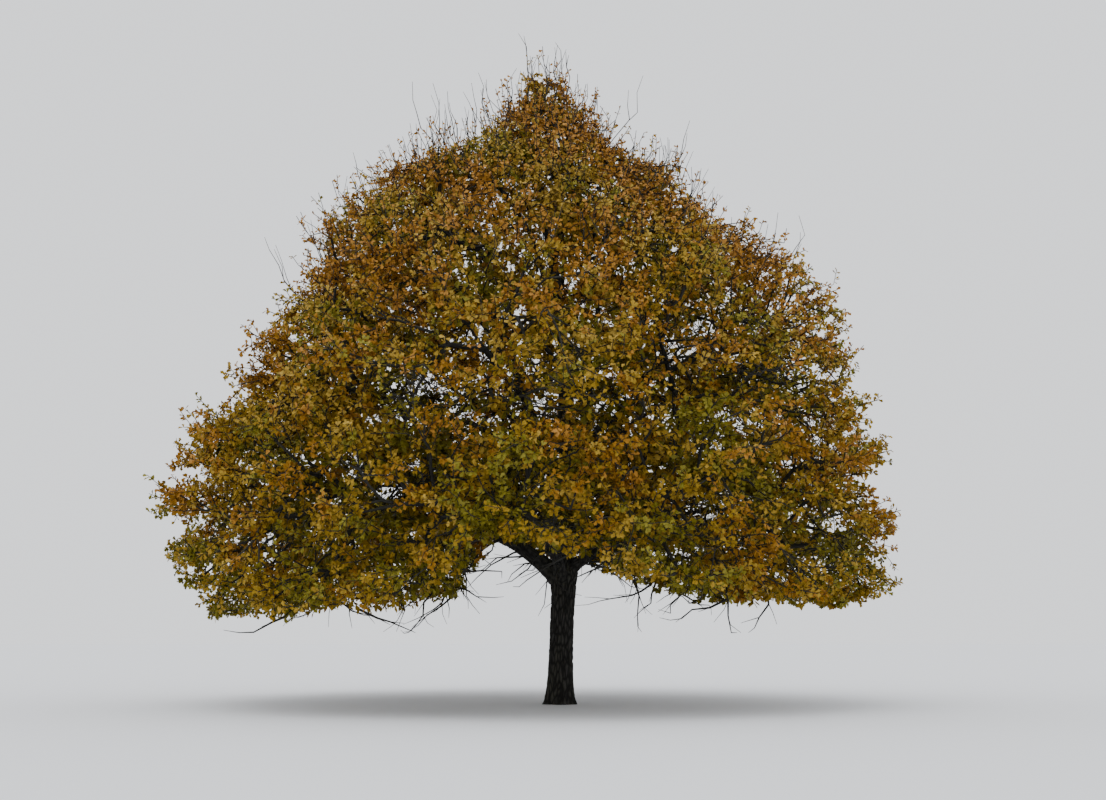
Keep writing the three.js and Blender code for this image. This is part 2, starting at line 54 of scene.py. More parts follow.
# The crown, as the solids have it
TREE_HEIGHT = 14.9
LEAF_TOP = 14.25
CROWN_RADIUS = 8.05
CROWN_SHIFT = -0.76
CROWN_SHIFT_TOP = -0.45
WIDEST_HEIGHT = 4.0
SKIRT_TUCK = 0.05
HEM_HEIGHT = 2.08
VIEWPOINT = np.array([0.0, -34.2, 1.6])

# Drifts are smooth wanders over space. For each, a value that ends in _OVER gives its length and its seed.
DRIFT_WAVES = 5
DRIFT_FINENESS = (0.6, 1.4)
DRIFT_FULL = 2.2  # sum of the waves that counts as 1

# The lower edge of the leaves: x in the plane of the trunk, and height. It leaves an arch before the fork.
HEM = (
    (-9.0, 3.6), (-8.3, 2.5), (-7.8, 1.92), (-6.3, 1.92), (-5.4, 2.03), (-3.6, 2.03), (-3.1, 2.2),
    (-2.0, 2.34), (-1.75, 3.3), (-1.5, 3.7), (-0.8, 3.48), (-0.2, 3.2), (0.4, 3.3), (0.9, 2.9),
    (1.5, 2.75), (2.1, 2.45), (3.2, 2.32), (3.9, 2.22), (6.0, 2.2), (7.2, 2.3),
)
HEM_DRIFT = 0.07
HEM_DRIFT_OVER = (0.9, 22)

# How far the leaves reach on the left and on the right, as shares of the crown's radius at a height
CROWN_EDGES = (
    (2.2, 0.94, 1.01), (3.0, 0.99, 1.02), (4.2, 1.01, 1.0), (5.4, 0.99, 1.01), (6.0, 0.94, 1.0),
    (7.0, 0.92, 1.0), (8.0, 0.91, 1.06), (8.9, 0.87, 1.14), (9.5, 0.91, 1.08), (10.1, 1.03, 1.0),
    (10.7, 1.11, 0.96), (11.6, 1.11, 0.98), (12.1, 0.93, 0.87), (12.6, 0.58, 0.74), (13.1, 0.45, 0.78),
    (13.5, 0.58, 1.1), (13.9, 0.7, 1.05), (14.2, 0.45, 0.7),
)
BLUNT_TOP = 0.75  # least radius of the crown as its leaves have it
FACE_SHARE = 0.95  # how far the leaves reach in front and behind, as a share of the crown's radius
FACE_DRIFT = 0.045
FACE_DRIFT_OVER = (3.6, 23)
FACE_DRIFT_WITHIN = (-1.5, 1)
EDGE_DRIFT = 0.26  # how far tufts stand out or fall back at the crown's surface
EDGE_DRIFT_OVER = (1.6, 21)
LEAST_RADIUS = 0.8  # of the crown, for the raggedness of its top

# Windows where sky shows through bare twigs: middle x and z in the plane of the trunk, half width and height,
# and the share of the leaves that is missing
WINDOWS = (
    (-1.99, 9.3, 0.24, 0.2, 0.65), (-1.27, 9.85, 0.24, 0.18, 0.6), (-0.19, 11.9, 0.24, 0.3, 0.7),
    (0.89, 11.6, 0.24, 0.24, 0.7), (-3.4, 8.89, 0.26, 0.17, 0.75), (-4.7, 8.7, 0.3, 0.2, 0.7),
    (-0.8, 8.6, 0.26, 0.22, 0.7), (0.24, 9.42, 0.2, 0.32, 0.65), (-2.22, 8.22, 0.3, 0.3, 0.75),
    (-3.5, 6.3, 0.55, 0.3, 0.75), (-2.35, 6.55, 0.35, 0.34, 0.75), (0.04, 5.69, 0.36, 0.19, 0.75),
    (0.8, 6.0, 0.3, 0.28, 0.8), (-4.51, 5.1, 0.38, 0.3, 0.8), (-3.73, 4.62, 0.5, 0.28, 0.85),
    (-6.3, 3.5, 0.4, 0.22, 0.85), (2.6, 7.8, 0.42, 0.36, 0.8), (3.3, 8.4, 0.5, 0.42, 0.75),
    (4.4, 8.35, 0.5, 0.3, 0.6), (4.2, 6.25, 0.75, 0.34, 0.7), (2.95, 4.28, 0.75, 0.36, 0.85),
    (5.3, 5.27, 0.36, 0.2, 0.75),
)
# Hollows, of the same form, where the front of the crown has lost its leaves and shaded ones show behind,
# with painted shade
HOLLOWS = (
    (-3.3, 6.95, 1.05, 0.45, 0.9), (4.5, 7.25, 1.4, 0.36, 0.85), (-0.5, 6.6, 0.8, 0.5, 0.8),
    (1.0, 6.8, 0.5, 0.5, 0.8), (-3.2, 4.9, 1.1, 0.34, 0.75), (-0.3, 4.0, 0.7, 0.3, 0.85),
)
HOLLOW_BACK = -1.5  # y behind which a hollow keeps its leaves
HOLLOW_COOL = 0.2  # how much less warm its leaves are
HOLLOW_PAINTED_SHADE = 0.5  # and how much darker its tint is, as painted shade
OPENING_FADE = (0.4, 1.3)  # where leaves begin and where all have them, in radii of the opening
OPENING_DRIFT = 0.3
OPENING_DRIFT_OVER = (0.9, 31)

# The trunk, as the solids have it
TRUNK_RADIUS = 0.255
FORK_HEIGHT = 3.12
TRUNK_LEAN = 0.08
FLARE = 0.4
FLARE_FADE = 0.38
ROOT_LOBES = 5
ROOT_LOBE_SHARE = 0.12
ROOT_LOBE_FADE = 0.26
FORK_SWELL = 0.25
FORK_SWELL_FADE = 0.26
FORK_SHOULDER = 2.82

# Limbs, as the solids have them
LEADER_RADII = (0.2, 0.05)
LEADER_BOW = (0.42, 0.06)
LEADER_HANDLES = (0.3, 0.75)
LEADER_RINGS = 9
LIMB_RINGS = 6
LIMB_TAPER_POWER = 0.8
LIMB_HANDLE = 0.36
LIMB_CROOK = 0.035
LIMB_CROOK_WAVES = (2.4, 3.1)
LIMB_CROOK_UP = 0.6
BOUGH_TIP_RADIUS = 0.04
BOUGH_ENTRY = 0.62
BOUGH_LEVELLING = 0.35
BOUGH_CLEARANCE = 0.15
BOUGH_SEED = 900
JOIN_STRIDE = 3
SIDE_BOUGHS_AT = (0.3, 0.42, 0.55)
SIDE_BOUGH_RISE = 0.5
SEARCH_STEP = 0.05
PLACE_SEED = 7
PLACE_SEEDS_PER_TIER = 100
PLACE_TURN = 10
PLACE_OUT = 0.08
PLACE_UP = 1.2

# Each tier is a ring of masses, as the solids have them, apart from the last three values: how many clumps of
# twigs a mass has, how tall they are against their width, and from how many places its bare shoots rise.
TIERS = (
    dict(
        name="skirt", count=9, turn=20, out=5.9, up=3.95, reach=3.7, flat=0.9,
        radius=0.1, angles=(46, 4), lift=0.45, join=(2.56, 2.86),
        carriers=("skirt_9", "skirt_3", "trunk", "skirt_5", "trunk", "skirt_5", "trunk", "skirt_7", "trunk"),
        clumps=21, level=0.58, shoots=0,
    ),
    dict(
        name="heart", count=3, turn=150, out=2.75, up=4.8, reach=2.1, flat=0.8,
        radius=0.062, angles=(35, 20), lift=0, join=(3.35, 3.9),
        carriers=("leader", "leader", "leader"),
        clumps=13, level=0.55, shoots=0,
    ),
    dict(
        name="middle", count=7, turn=0, out=4.95, up=6.8, reach=3.7, flat=0.85,
        radius=0.075, angles=(58, 22), lift=0, join=(3.9, 5.2),
        carriers=("upper_1", "upper_1", "leader", "upper_3", "skirt_5", "leader", "leader"),
        clumps=21, level=0.68, shoots=7,
    ),
    dict(
        name="upper", count=5, turn=30, out=3.3, up=9.35, reach=3.3, flat=0.88,
        radius=0.075, angles=(66, 46), lift=0, join=(3.45, 6.3),
        carriers=("leader", "leader", "leader", "upper_3", "upper_1"),
        clumps=23, level=0.8, shoots=14,
    ),
    dict(
        name="crest", count=3, turn=60, out=2.1, up=11.6, reach=3.0, flat=0.9,
        radius=0.062, angles=(62, 48), lift=0, join=(8.5, 9.3),
        carriers=("leader", "leader", "leader"),
        clumps=24, level=1.0, shoots=16,
    ),
    dict(
        name="top", count=1, turn=0, out=0, up=13.0, reach=2.2, flat=1.1,
        carriers=("trunk",),
        clumps=22, level=1.2, shoots=15,
    ),
)

# Growth, by the solids' rule
GROWTH_SEED = 4000
INNER_THINNING = (0.3, 0.5, 0.05)
OUTWARD_PUSH = (0.1, 0.8)
SPACE_MARGIN = 0.012
TARGET_CHOICES = 6
STEM_SHARE = 0.4
TURN_COST = 0.45
TWIG_BALANCE = 0.35

# Growth, carried to finer twigs
POINT_TRIES = 4  # for each point that is looked for
SPRIGS_PER_CLUMP = 40
SPRIG_TRIES = 3
SPRIGS_BY_RADIUS = 1.5  # power by which a smaller clump has fewer sprigs
FILLERS_PER_CLUMP = 12  # sprigs that fill the emptiest places inside a mass
FILLERS_WITHIN = 0.9  # of the crown's radius
CLUMP_RADII = (0.75, 0.52)  # low in the crown and at its top
CLUMP_RADII_BETWEEN = (7.5, 12.5)  # heights
CLUMP_INSET = 0.5  # how far inside the crown's surface the middle of a clump lies
CLUMP_INSET_LEAST = 0.2  # share of its distance from the crown's middle that a clump keeps at least
CLUMP_LIMIT = 1.02  # of the crown's radius, past which only leaves stand
CLUMP_MARGIN = 0.1  # from the middle of a clump to the neighbouring mass
CLUMP_OVERLAP = 0.2  # of the sprigs of neighbouring masses
CLUMP_CROWDING = 0.5  # power of a random share of its radius, where a third would be even
STRAY_SHARE = 0.1  # sprigs that may stand out of their clump
STRAY_REACH = 1.4  # in radii of the clump
BOUGH_KNOTS_FROM = 0.45  # share of a bough's length past which twigs leave it
BOUGH_KNOTS = 12
STEM_KNOTS = 3
TWIG_STEP = 0.42
TWIG_SEGMENTS = (1, 6)
TWIG_SPRING = 0.45  # how much of the parent's direction a twig keeps as it leaves
TWIG_HANDLE = 0.45
TWIG_CROOK = 0.05
TWIG_TIP_RADIUS = 0.0076
TWIG_POWER = 0.36  # radius against the number of tips that a twig feeds
TWIG_SIDES = 3
TWIG_PIECES_MEET = 6.0  # height at which the two pieces of fine twigs meet
BRANCH_RADIUS = 0.0196  # twigs thicker than this are branches
BRANCH_SIDES = 5
PLUMES_PER_SHOOT = 6  # leafy tips that stand out of the crown's upper surface
PLUME_LENGTHS = (0.25, 0.7)
PLUME_FROM = 0.84  # share of the crown's radius
PLUME_SCATTER = 0.3
SHOOT_LENGTHS = (0.45, 1.15)
SHOOT_SCATTER = 0.13
SHOOT_OUTWARD = 0.5
SHOOT_TAPER = (1.5, 0.65)  # against other twigs, at the foot and at the tip
SHOOT_CHOICES = 5  # high knots for each one that bears shoots
SHOOT_DEPTH = 0.8  # how far below the highest knots one may count as high
SHOOTS_TOGETHER = 2
HANGING_TWIGS = 6  # bare branchlets below the leaves of each mass of the skirt
HANGING_BELOW = 3.2
HANGING_WITHIN = 5.6  # from the middle of the crown
BOUGH_TWIGS = 7  # bare branchlets on the inner part of each bough of the skirt
BOUGH_TWIGS_AT = (0.08, 0.42)
BRANCHLET_LENGTHS = (0.7, 1.5)
BRANCHLET_TAPER = (2.2, 1.0)
BRANCHLET_SCATTER = 0.3
BRANCHLET_DROOP = 0.35
BRANCHLET_SIDES = (0.2, 0.5)  # length of its side twigs as a share of its own
BRANCHLET_SIDE_SCATTER = 0.5
BRANCHLET_LOWEST = 1.55
BRANCHLET_REACH = 7.8  # from the middle of the crown

# Bark of the limbs
BARK_STRETCH = 5.5  # how much longer than wide its plates are
BARK_RELIEF = 0.055  # depth as a share of the limb's radius
BARK_RELIEF_MOST = 0.014
BARK_APART = 10.0  # between the patterns of two limbs
PLATE_FURROW = 0.3  # width of the furrow beside a plate, as a share of the plate's
PLATE_WARP_FINENESS = 0.4  # against the plates
PLATE_GRAIN_FINENESS = 1.7
PLATE_RISE = 1.25  # from the furrow's ground to the ridge, in depths of the relief
PLATE_GRAIN_RISE = 0.8
PLATE_DETAIL = 3
TRUNK_PLATES = {"Plate Width": 0.045, "Warp": 0.05}
BOUGH_PLATES = {"Plate Width": 0.032, "Warp": 0.035}
TRUNK_BUMPS = 0.03  # share of its radius
TRUNK_BUMPS_ROUND = 3
TRUNK_BUMP_TWIST = 2.1  # radians a metre
TRUNK_BUMP_WAVE = (1.3, 0.5)  # along the trunk, and its phase
TRUNK_SIDES = 144
TRUNK_RING_STEP = 0.018
TRUNK_LEVEL_BELOW_FORK = 1.2  # its rings lie level below this
LEVEL_FADE = 1.0  # height over which they stop being level
STEEP = 0.7
BELOW_GROUND = -2.0  # where no bough has rings to level
LEADER_RING_STEP = 0.035
BOUGH_SIDES = 30
BOUGH_RING_STEP = 0.045
BOUGH_EXTRA_RINGS = 4
BOUGH_FOOT_START = 0.02  # share of its radius at which a bough's rounded foot starts
COLLAR = 0.5
COLLAR_FADE = 0.22
COLLAR_WITHIN = 0.95  # of its carrier's radius

# Leaves
LEAVES_PER_SPRIG = 8
SPRIG_LENGTH = 0.34
LEAF_LENGTHS = (0.1, 0.138)
LEAF_SPREAD = (35, 85)
LEAF_DROOP = 0.3
LEAF_FLUTTER = 0.85  # how far the faces of leaves turn from the sky
LEAF_FACE_OUTWARD = 0.5
GOLDEN_ANGLE = 137.5
SHADE_DEPTH = 0.78  # share of the crown's radius inside which leaves are shade leaves
SHADE_LEAF_SIZE = 1.38
THIN_EDGE = 0.62  # share of the leaves that the top of the crown has lost at its edge
THIN_EDGE_HEIGHTS = (5, 11)
THIN_EDGE_BETWEEN = (0.86, 1.02)  # shares of the crown's radius
THIN_TOP = 0.45  # share that its highest part has lost inside
THIN_TOP_HEIGHTS = (9, 14)
TOP_LEAF_SIZE = 0.8  # at the top of the crown, against its lower part
TOP_LEAVES_BETWEEN = (7.5, 12.5)  # heights

# Leaf outlines on one side: lobe, notch and lobe, a lobe with a waist below it, or half of a plain oval
LOBED = ((0.22, 0.31), (0.14, 0.45), (0.31, 0.7))
WAISTED = ((0.16, 0.38), (0.32, 0.66))
OVAL = ((0.22, 0.4), (0.28, 0.7))
POINTED = ((0.3, 0.56),)

# Leaf shapes: the outlines of both sides, how far they fold up and how far the tip curls
LEAF_SHAPES = {
    "leaf_open": (LOBED, WAISTED, 0.3, -0.06),
    "leaf_cupped": (WAISTED, LOBED, 0.75, 0.1),
    "leaf_bent": (LOBED, WAISTED, -0.35, -0.16),
    "shade_leaf_flat": (OVAL, POINTED, 0.2, -0.05),
    "shade_leaf_bent": (POINTED, OVAL, -0.3, -0.14),
}
SUN_SHAPES = 3

# Three families of tints, from cool to warm, each from dark to light
# The steps of a family are dealt out as painted light and painted shade and as tone that differs at random.
TINTS = (
    {
        "dark_olive": (0.124, 0.101, 0.003),
        "olive": (0.172, 0.143, 0.009),
        "yellow_green": (0.222, 0.188, 0.02),
    },
    {
        "umber": (0.25, 0.152, 0.006),
        "ochre": (0.314, 0.196, 0.018),
        "golden": (0.368, 0.238, 0.036),
    },
    {
        "brown": (0.266, 0.124, 0.007),
        "russet": (0.328, 0.152, 0.017),
        "burnt_orange": (0.374, 0.178, 0.032),
    },
)
TINT_SHARES = (0.27, 0.45, 0.28)  # of the sprigs, for each family
STEP_SHARES = (0.33, 0.37, 0.3)  # of a family's sprigs, for its dark, middle and light tint
TUFT_SHARES = (0.74, 1.0)  # of the crown's radius, from the hollows to the tops of the tufts
TINT_HEIGHTS = (2.5, 13)
# What makes a sprig warm and what makes it light: the weights of tufts, height, drifts with their lengths and
# seeds, and chance
WARMTH = dict(outer=0.2, height=0.27, drifts=((0.2, 2.8, 11), (0.13, 1.2, 12)), chance=0.06)
# Lightness on the tops of tufts and high up is painted light, and lower lightness inside and low down is
# painted shade; its drifts and chance are tone that differs at random.
PAINTED_LIGHT_AND_TONE = dict(outer=0.2, height=0.62, drifts=((0.18, 1.3, 13),), chance=0.09)

# Colours and finishes
GLOSS = 0.14
LEAF_ROUGHNESS = 0.5
FURROW_COLOUR = (0.0105, 0.0098, 0.0088, 1)
RIDGE_COLOUR = (0.075, 0.071, 0.064, 1)
ALGAE_COLOUR = (0.06, 0.062, 0.028, 1)
ALGAE_PATCHES = 5
ALGAE_DETAIL = 4
STREAK_DETAIL = 6
STREAK_ROUGHNESS = 0.65
ALGAE_COVER = (0.42, 0.68)
ALGAE_FACING = (-0.3, 0.8)  # how far up a surface faces, from where they are few to where they are full
ALGAE_LEAST = 0.25  # share of them on the underside
BARK_ROUGHNESS = (0.98, 0.75)  # of furrows and of ridges
BUMP_DEPTH = 0.006
TWIG_RIDGE = 0.6
# Fineness of the streaks, share of algae and strength of the bump. On a limb the bark reads its ridges.
BARKS = {
    "trunk_bark": dict(streaks=70, algae=0.5, bump=0.7, on_limb=True),
    "bough_bark": dict(streaks=90, algae=0.8, bump=0.6, on_limb=True),
    "branch_bark": dict(streaks=30, algae=0.6, bump=0.4, on_limb=False),
    "twig_bark": dict(streaks=12, algae=0.2, bump=0.1, on_limb=False),
}

# Floor, light and camera
FLOOR_HALF = 150
FLOOR_COLOUR = (0.818, 0.828, 0.847)
FLOOR_ROUGHNESS = 0.9
SKY_COLOUR = (0.95, 0.97, 1, 1)
SKY_STRENGTH = 1.36
SUN_STRENGTH = 0.9
SUN_SIZE = 40  # degrees, for soft shadows
SUN_TURN = (27, 0, -25)
LENS = 50
SENSOR_WIDTH = 36
SIGHT = 500  # how far the camera sees
CAMERA_ASIDE = -0.155
CAMERA_TILT = 8.52


def mix(a, b, share):
    return a + (b - a) * share


def share_between(value, low, high):
    return np.clip((value - low) / (high - low), 0, 1)


def smooth(value, low, high):
    t = share_between(value, low, high)
    return t * t * (3 - 2 * t)


def unit(vectors):
    return vectors / np.maximum(np.linalg.norm(vectors, axis=-1, keepdims=True), TINY)


def seeded(seed):
    """The solids' repeatable stream of numbers from 0 to 1."""
    state = seed * STREAM_SEED_FACTOR % STREAM_RANGE
    while True:
        state = (state * STREAM_FACTOR + STREAM_STEP) % STREAM_RANGE
        yield state / STREAM_RANGE


def direction(azimuth, elevation):
    a, e = math.radians(azimuth), math.radians(elevation)
    return np.array([math.cos(a) * math.cos(e), math.sin(a) * math.cos(e), math.sin(e)])


# The crown's shape

def crown_shift(z):
    return mix(CROWN_SHIFT, CROWN_SHIFT_TOP, share_between(z, WIDEST_HEIGHT, LEAF_TOP))


def crown_radius(z):
    above = share_between(z, WIDEST_HEIGHT, LEAF_TOP)
    below = share_between(-z, -WIDEST_HEIGHT, -HEM_HEIGHT)
    return CROWN_RADIUS * (1 - above**2) * (1 - SKIRT_TUCK * below**2)


def seen_at(points):
    """Where points appear from the viewpoint, as x and z in the plane of the trunk."""
    far = 1 - points[:, 1] / VIEWPOINT[1]
    return [VIEWPOINT[axis] + (points[:, axis] - VIEWPOINT[axis]) / far for axis in (0, 2)]


def below_hem(points):
    """Which points lie under the level lower edge of the leaves, or in the arch before the fork."""
    x, z = seen_at(points)
    return z < np.interp(x, *np.array(HEM).T) + HEM_DRIFT * drift(points, *HEM_DRIFT_OVER)


def crown_share(points):
    """How far out points lie in the crown, 1 at its surface, or infinity above and below it."""
    x, y, z = points.T
    out = np.hypot(x - crown_shift(z), y)
    heights, left, right = np.array(CROWN_EDGES).T
    side = (x - crown_shift(z)) / np.maximum(out, NEAR_AXIS)
    edge = np.where(side < 0, np.interp(z, heights, left), np.interp(z, heights, right))
    face = FACE_SHARE + FACE_DRIFT * np.clip(drift(points, *FACE_DRIFT_OVER), *FACE_DRIFT_WITHIN)
    share = out / (np.maximum(crown_radius(z), BLUNT_TOP) * mix(face, edge, side**2))
    return np.where(below_hem(points) | (z > LEAF_TOP), np.inf, share)


def drift(points, length, seed):
    """A smooth wander over space, about -1 to 1."""
    random = np.random.default_rng(seed)
    headings = unit(random.normal(size=(DRIFT_WAVES, 3)))
    waves = headings * random.uniform(*DRIFT_FINENESS, (DRIFT_WAVES, 1)) * 2 * math.pi / length
    phases = random.uniform(0, 2 * math.pi, DRIFT_WAVES)
    return np.sin(points @ waves.T + phases).sum(axis=1) / DRIFT_FULL


def opened(points, openings):
    """The share of leaves missing at each point because one of the openings leads through it."""
    x, z = seen_at(points)
    ragged = 1 + OPENING_DRIFT * drift(points, *OPENING_DRIFT_OVER)
    bare = np.zeros(len(points))
    for middle_x, middle_z, half_width, half_height, missing in openings:
        out = np.hypot((x - middle_x) / half_width, (z - middle_z) / half_height) * ragged
        bare = np.maximum(bare, missing * (1 - smooth(out, *OPENING_FADE)))
    return bare


# The limbs' lines

def trunk_point(z):
    return np.array([TRUNK_LEAN * smooth(z, 0, FORK_HEIGHT), 0, z])


def trunk_radius(z):
    flare = FLARE * np.exp(-z / FLARE_FADE)
    swell = FORK_SWELL * np.exp(-(FORK_SHOULDER - np.minimum(z, FORK_SHOULDER)) / FORK_SWELL_FADE)
    return mix(TRUNK_RADIUS * (1 + flare + swell), LEADER_RADII[0], smooth(z, FORK_SHOULDER, FORK_HEIGHT))


def bezier(corners, shares):
    t = np.asarray(shares)[:, None]
    a, b, c, d = corners
    return a * (1 - t) ** 3 + 3 * b * t * (1 - t) ** 2 + 3 * c * t**2 * (1 - t) + d * t**3


def point_at(points, share):
    exact = share * (len(points) - 1)
    i = min(int(exact), len(points) - 2)
    return mix(points[i], points[i + 1], exact - i)


def mass_places():
    """The middles of all masses, tier by tier, with their names."""
    places = []
    for t, tier in enumerate(TIERS):
        for number in range(tier["count"]):
            random = seeded(PLACE_SEED + PLACE_SEEDS_PER_TIER * t + number)
            azimuth = tier["turn"] + 360 * number / tier["count"] + PLACE_TURN * (next(random) - 0.5)
            out = tier["out"] * (1 + PLACE_OUT * (next(random) - 0.5))
            many = tier["count"] > 1
            middle = direction(azimuth, 0) * out
            middle[2] = tier["up"] + (PLACE_UP * (next(random) - 0.5) if many else 0)
            middle[0] += crown_shift(middle[2])
            label = f"{tier['name']}_{number + 1}" if many else tier["name"]
            places.append(dict(tier=tier, number=number, label=label, middle=middle, index=len(places)))
    return places


def in_own_space(points, place, places, margin=SPACE_MARGIN):
    """Which points lie nearer to the mass's middle than to any other's."""
    own = np.full(len(points), True)
    mine = np.sum((points - place["middle"]) ** 2, axis=1)
    for other in places:
        if other is not place:
            apart = np.linalg.norm(other["middle"] - place["middle"])
            theirs = np.sum((points - other["middle"]) ** 2, axis=1)
            own &= (theirs - mine) / (2 * apart) > margin
    return own


def bough_end(start, place, places):
    back = start - place["middle"]
    back[2] *= BOUGH_LEVELLING
    back = unit(back)
    end = place["middle"].copy()
    for _ in np.arange(0, BOUGH_ENTRY * place["tier"]["reach"], SEARCH_STEP):
        following = end + back * SEARCH_STEP
        if not in_own_space(following[None], place, places, BOUGH_CLEARANCE)[0]:
            break
        end = following
    end[2] += place["tier"]["lift"]
    return end


def bough_line(start, end, angles, phase):
    """A bough's line as a function of the share of its length."""
    length = np.linalg.norm(end - start)
    azimuth = math.degrees(math.atan2(end[1] - start[1], end[0] - start[0]))
    corners = (
        start,
        start + direction(azimuth, angles[0]) * LIMB_HANDLE * length,
        end - direction(azimuth, angles[1]) * LIMB_HANDLE * length,
        end,
    )
    across = direction(azimuth + 90, 0)

    def line(shares):
        shares = np.asarray(shares)
        wander = LIMB_CROOK * length * np.sin(np.pi * shares)
        aside = wander * np.sin(LIMB_CROOK_WAVES[0] * np.pi * shares + phase)
        up = LIMB_CROOK_UP * wander * np.cos(LIMB_CROOK_WAVES[1] * np.pi * shares + phase)
        return bezier(corners, shares) + aside[:, None] * across + up[:, None] * UP

    return line


def leader_line(end):
    start = trunk_point(FORK_HEIGHT - LEADER_RADII[0])
    low, high = (mix(start[2], end[2], share) for share in LEADER_HANDLES)
    corners = (
        start,
        np.array([start[0] + LEADER_BOW[0], 0, low]),
        np.array([end[0] + LEADER_BOW[0], LEADER_BOW[1], high]),
        end,
    )
    return lambda shares: bezier(corners, shares)


def carried_by(label, places):
    sides = [place for place in places if place["tier"]["carriers"][place["number"]] == label]
    return 1 + sum(carried_by(place["label"], places) for place in sides)


def taper(radii, shares):
    return mix(*radii, shares**LIMB_TAPER_POWER)


def bough_start(limbs, place):
    """Where a bough leaves its carrier, and the carrier's radius there."""
    tier, number = place["tier"], place["number"]
    carrier = tier["carriers"][number]
    if carrier not in ("trunk", "leader"):
        used = limbs["sides"].get(carrier, 0)
        limbs["sides"][carrier] = used + 1
        bough = bough_of(limbs, next(other for other in limbs["places"] if other["label"] == carrier))
        return point_at(bough["coarse"], SIDE_BOUGHS_AT[used]), taper(bough["radii"], SIDE_BOUGHS_AT[used])
    height = mix(*tier["join"], (number * JOIN_STRIDE % tier["count"]) / (tier["count"] - 1))
    if carrier == "trunk":
        return trunk_point(height), trunk_radius(height)
    points = limbs["boughs"]["top"]["coarse"]
    share = share_between(height, points[0][2], points[-1][2])
    return point_at(points, share), taper(LEADER_RADII, share)


def bough_of(limbs, place):
    """The bough of a mass: its line, its radii at foot and tip, and its node's name."""
    boughs, places, tier = limbs["boughs"], limbs["places"], place["tier"]
    if place["label"] in boughs:
        return boughs[place["label"]]
    start, held_by = bough_start(limbs, place)
    rise = SIDE_BOUGH_RISE if tier["carriers"][place["number"]] in boughs else 1
    phase = next(seeded(BOUGH_SEED + place["index"])) * math.pi
    angles = (tier["angles"][0] * rise, tier["angles"][1])
    line = bough_line(start, bough_end(start, place, places), angles, phase)
    radii = (tier["radius"] * math.sqrt(carried_by(place["label"], places)), BOUGH_TIP_RADIUS)
    coarse = line(np.linspace(0, 1, LIMB_RINGS + 1))
    name = f"{tier['name']}_bough_{place['number'] + 1}"
    boughs[place["label"]] = dict(node=name, line=line, radii=radii, coarse=coarse, held_by=held_by)
    return boughs[place["label"]]


def make_limbs():
    places = mass_places()
    top = places[-1]
    line = leader_line(top["middle"] - UP * BOUGH_ENTRY * top["tier"]["reach"])
    coarse = line(np.linspace(0, 1, LEADER_RINGS + 1))
    leader = dict(node="leader", line=line, radii=LEADER_RADII, coarse=coarse)
    limbs = dict(places=places, boughs={"top": leader}, sides={})
    for place in places:
        bough_of(limbs, place)
    return limbs


# Growth of the masses

def leafy_points(place, places, count, random, within, margin):
    """Seeded points in the mass's part of the crown, more often near the crown's surface."""
    tier = place["tier"]
    found = []
    while sum(map(len, found)) < count:
        offsets = random.uniform(-1, 1, (POINT_TRIES * count, 3))
        offsets = offsets[np.linalg.norm(offsets, axis=1) < 1]
        points = place["middle"] + offsets * tier["reach"] * np.array([1, 1, tier["flat"]])
        share = crown_share(points)
        first, full, least = INNER_THINNING
        kept = (share < 1) & (random.random(len(points)) < np.clip((share - first) / full, least, 1))
        points, share = points[kept], share[kept]
        power = 1 if tier["name"] == "heart" else mix(*OUTWARD_PUSH, random.random(len(points)))
        push = share ** (power - 1)
        shift = crown_shift(points[:, 2])
        points[:, 0] = shift + (points[:, 0] - shift) * push
        points[:, 1] *= push
        points = points[crown_share(points) < within]
        found.append(points[in_own_space(points, place, places, margin)])
    return np.concatenate(found)[:count]


def lonely_points(place, places, count, random, others, within=1, margin=SPACE_MARGIN):
    """Points of the mass, each the loneliest of a few, so that they fill its emptiest places."""
    choices = leafy_points(place, places, count * TARGET_CHOICES, random, within, margin)
    choices = choices.reshape(count, TARGET_CHOICES, 3)
    chosen = list(others)
    for few in choices:
        apart = np.linalg.norm(few[:, None] - np.array(chosen)[None], axis=2).min(axis=1)
        chosen.append(few[np.argmax(apart)])
    return np.array(chosen[len(others) :])


def clump_centres(place, places, random):
    """The middles of a mass's clumps, all a little inside the crown's surface."""
    count, alone = place["tier"]["clumps"], [place["middle"]]
    centres = lonely_points(place, places, count, random, alone, margin=CLUMP_MARGIN)
    shift = np.stack([crown_shift(centres[:, 2]), np.zeros(len(centres))], 1)
    share = crown_share(centres)
    out = np.linalg.norm(centres[:, :2] - shift, axis=1)
    pull = np.clip(1 / share - CLUMP_INSET / np.maximum(out, NEAR_AXIS), CLUMP_INSET_LEAST, 1)
    centres[:, :2] = shift + (centres[:, :2] - shift) * pull[:, None]
    return centres


def clump_targets(centre, place, places, random):
    """Sprigs round the centre of a clump, flatter low in the crown and taller at its top."""
    radius = mix(*CLUMP_RADII, share_between(centre[2], *CLUMP_RADII_BETWEEN))
    sprigs = round(SPRIGS_PER_CLUMP * (radius / CLUMP_RADII[0]) ** SPRIGS_BY_RADIUS)
    tries = SPRIG_TRIES * sprigs
    spread = radius * np.array([1, 1, place["tier"]["level"]])
    stray = np.where(random.random((tries, 1)) < STRAY_SHARE, STRAY_REACH, 1)
    offsets = unit(random.normal(size=(tries, 3))) * random.random((tries, 1)) ** CLUMP_CROWDING * stray
    points = centre + offsets * spread
    ragged = EDGE_DRIFT / np.maximum(crown_radius(points[:, 2]), LEAST_RADIUS)
    limit = CLUMP_LIMIT + ragged * drift(points, *EDGE_DRIFT_OVER)
    kept = (crown_share(points) < limit) & in_own_space(points, place, places, -CLUMP_OVERLAP)
    return points[kept][:sprigs]


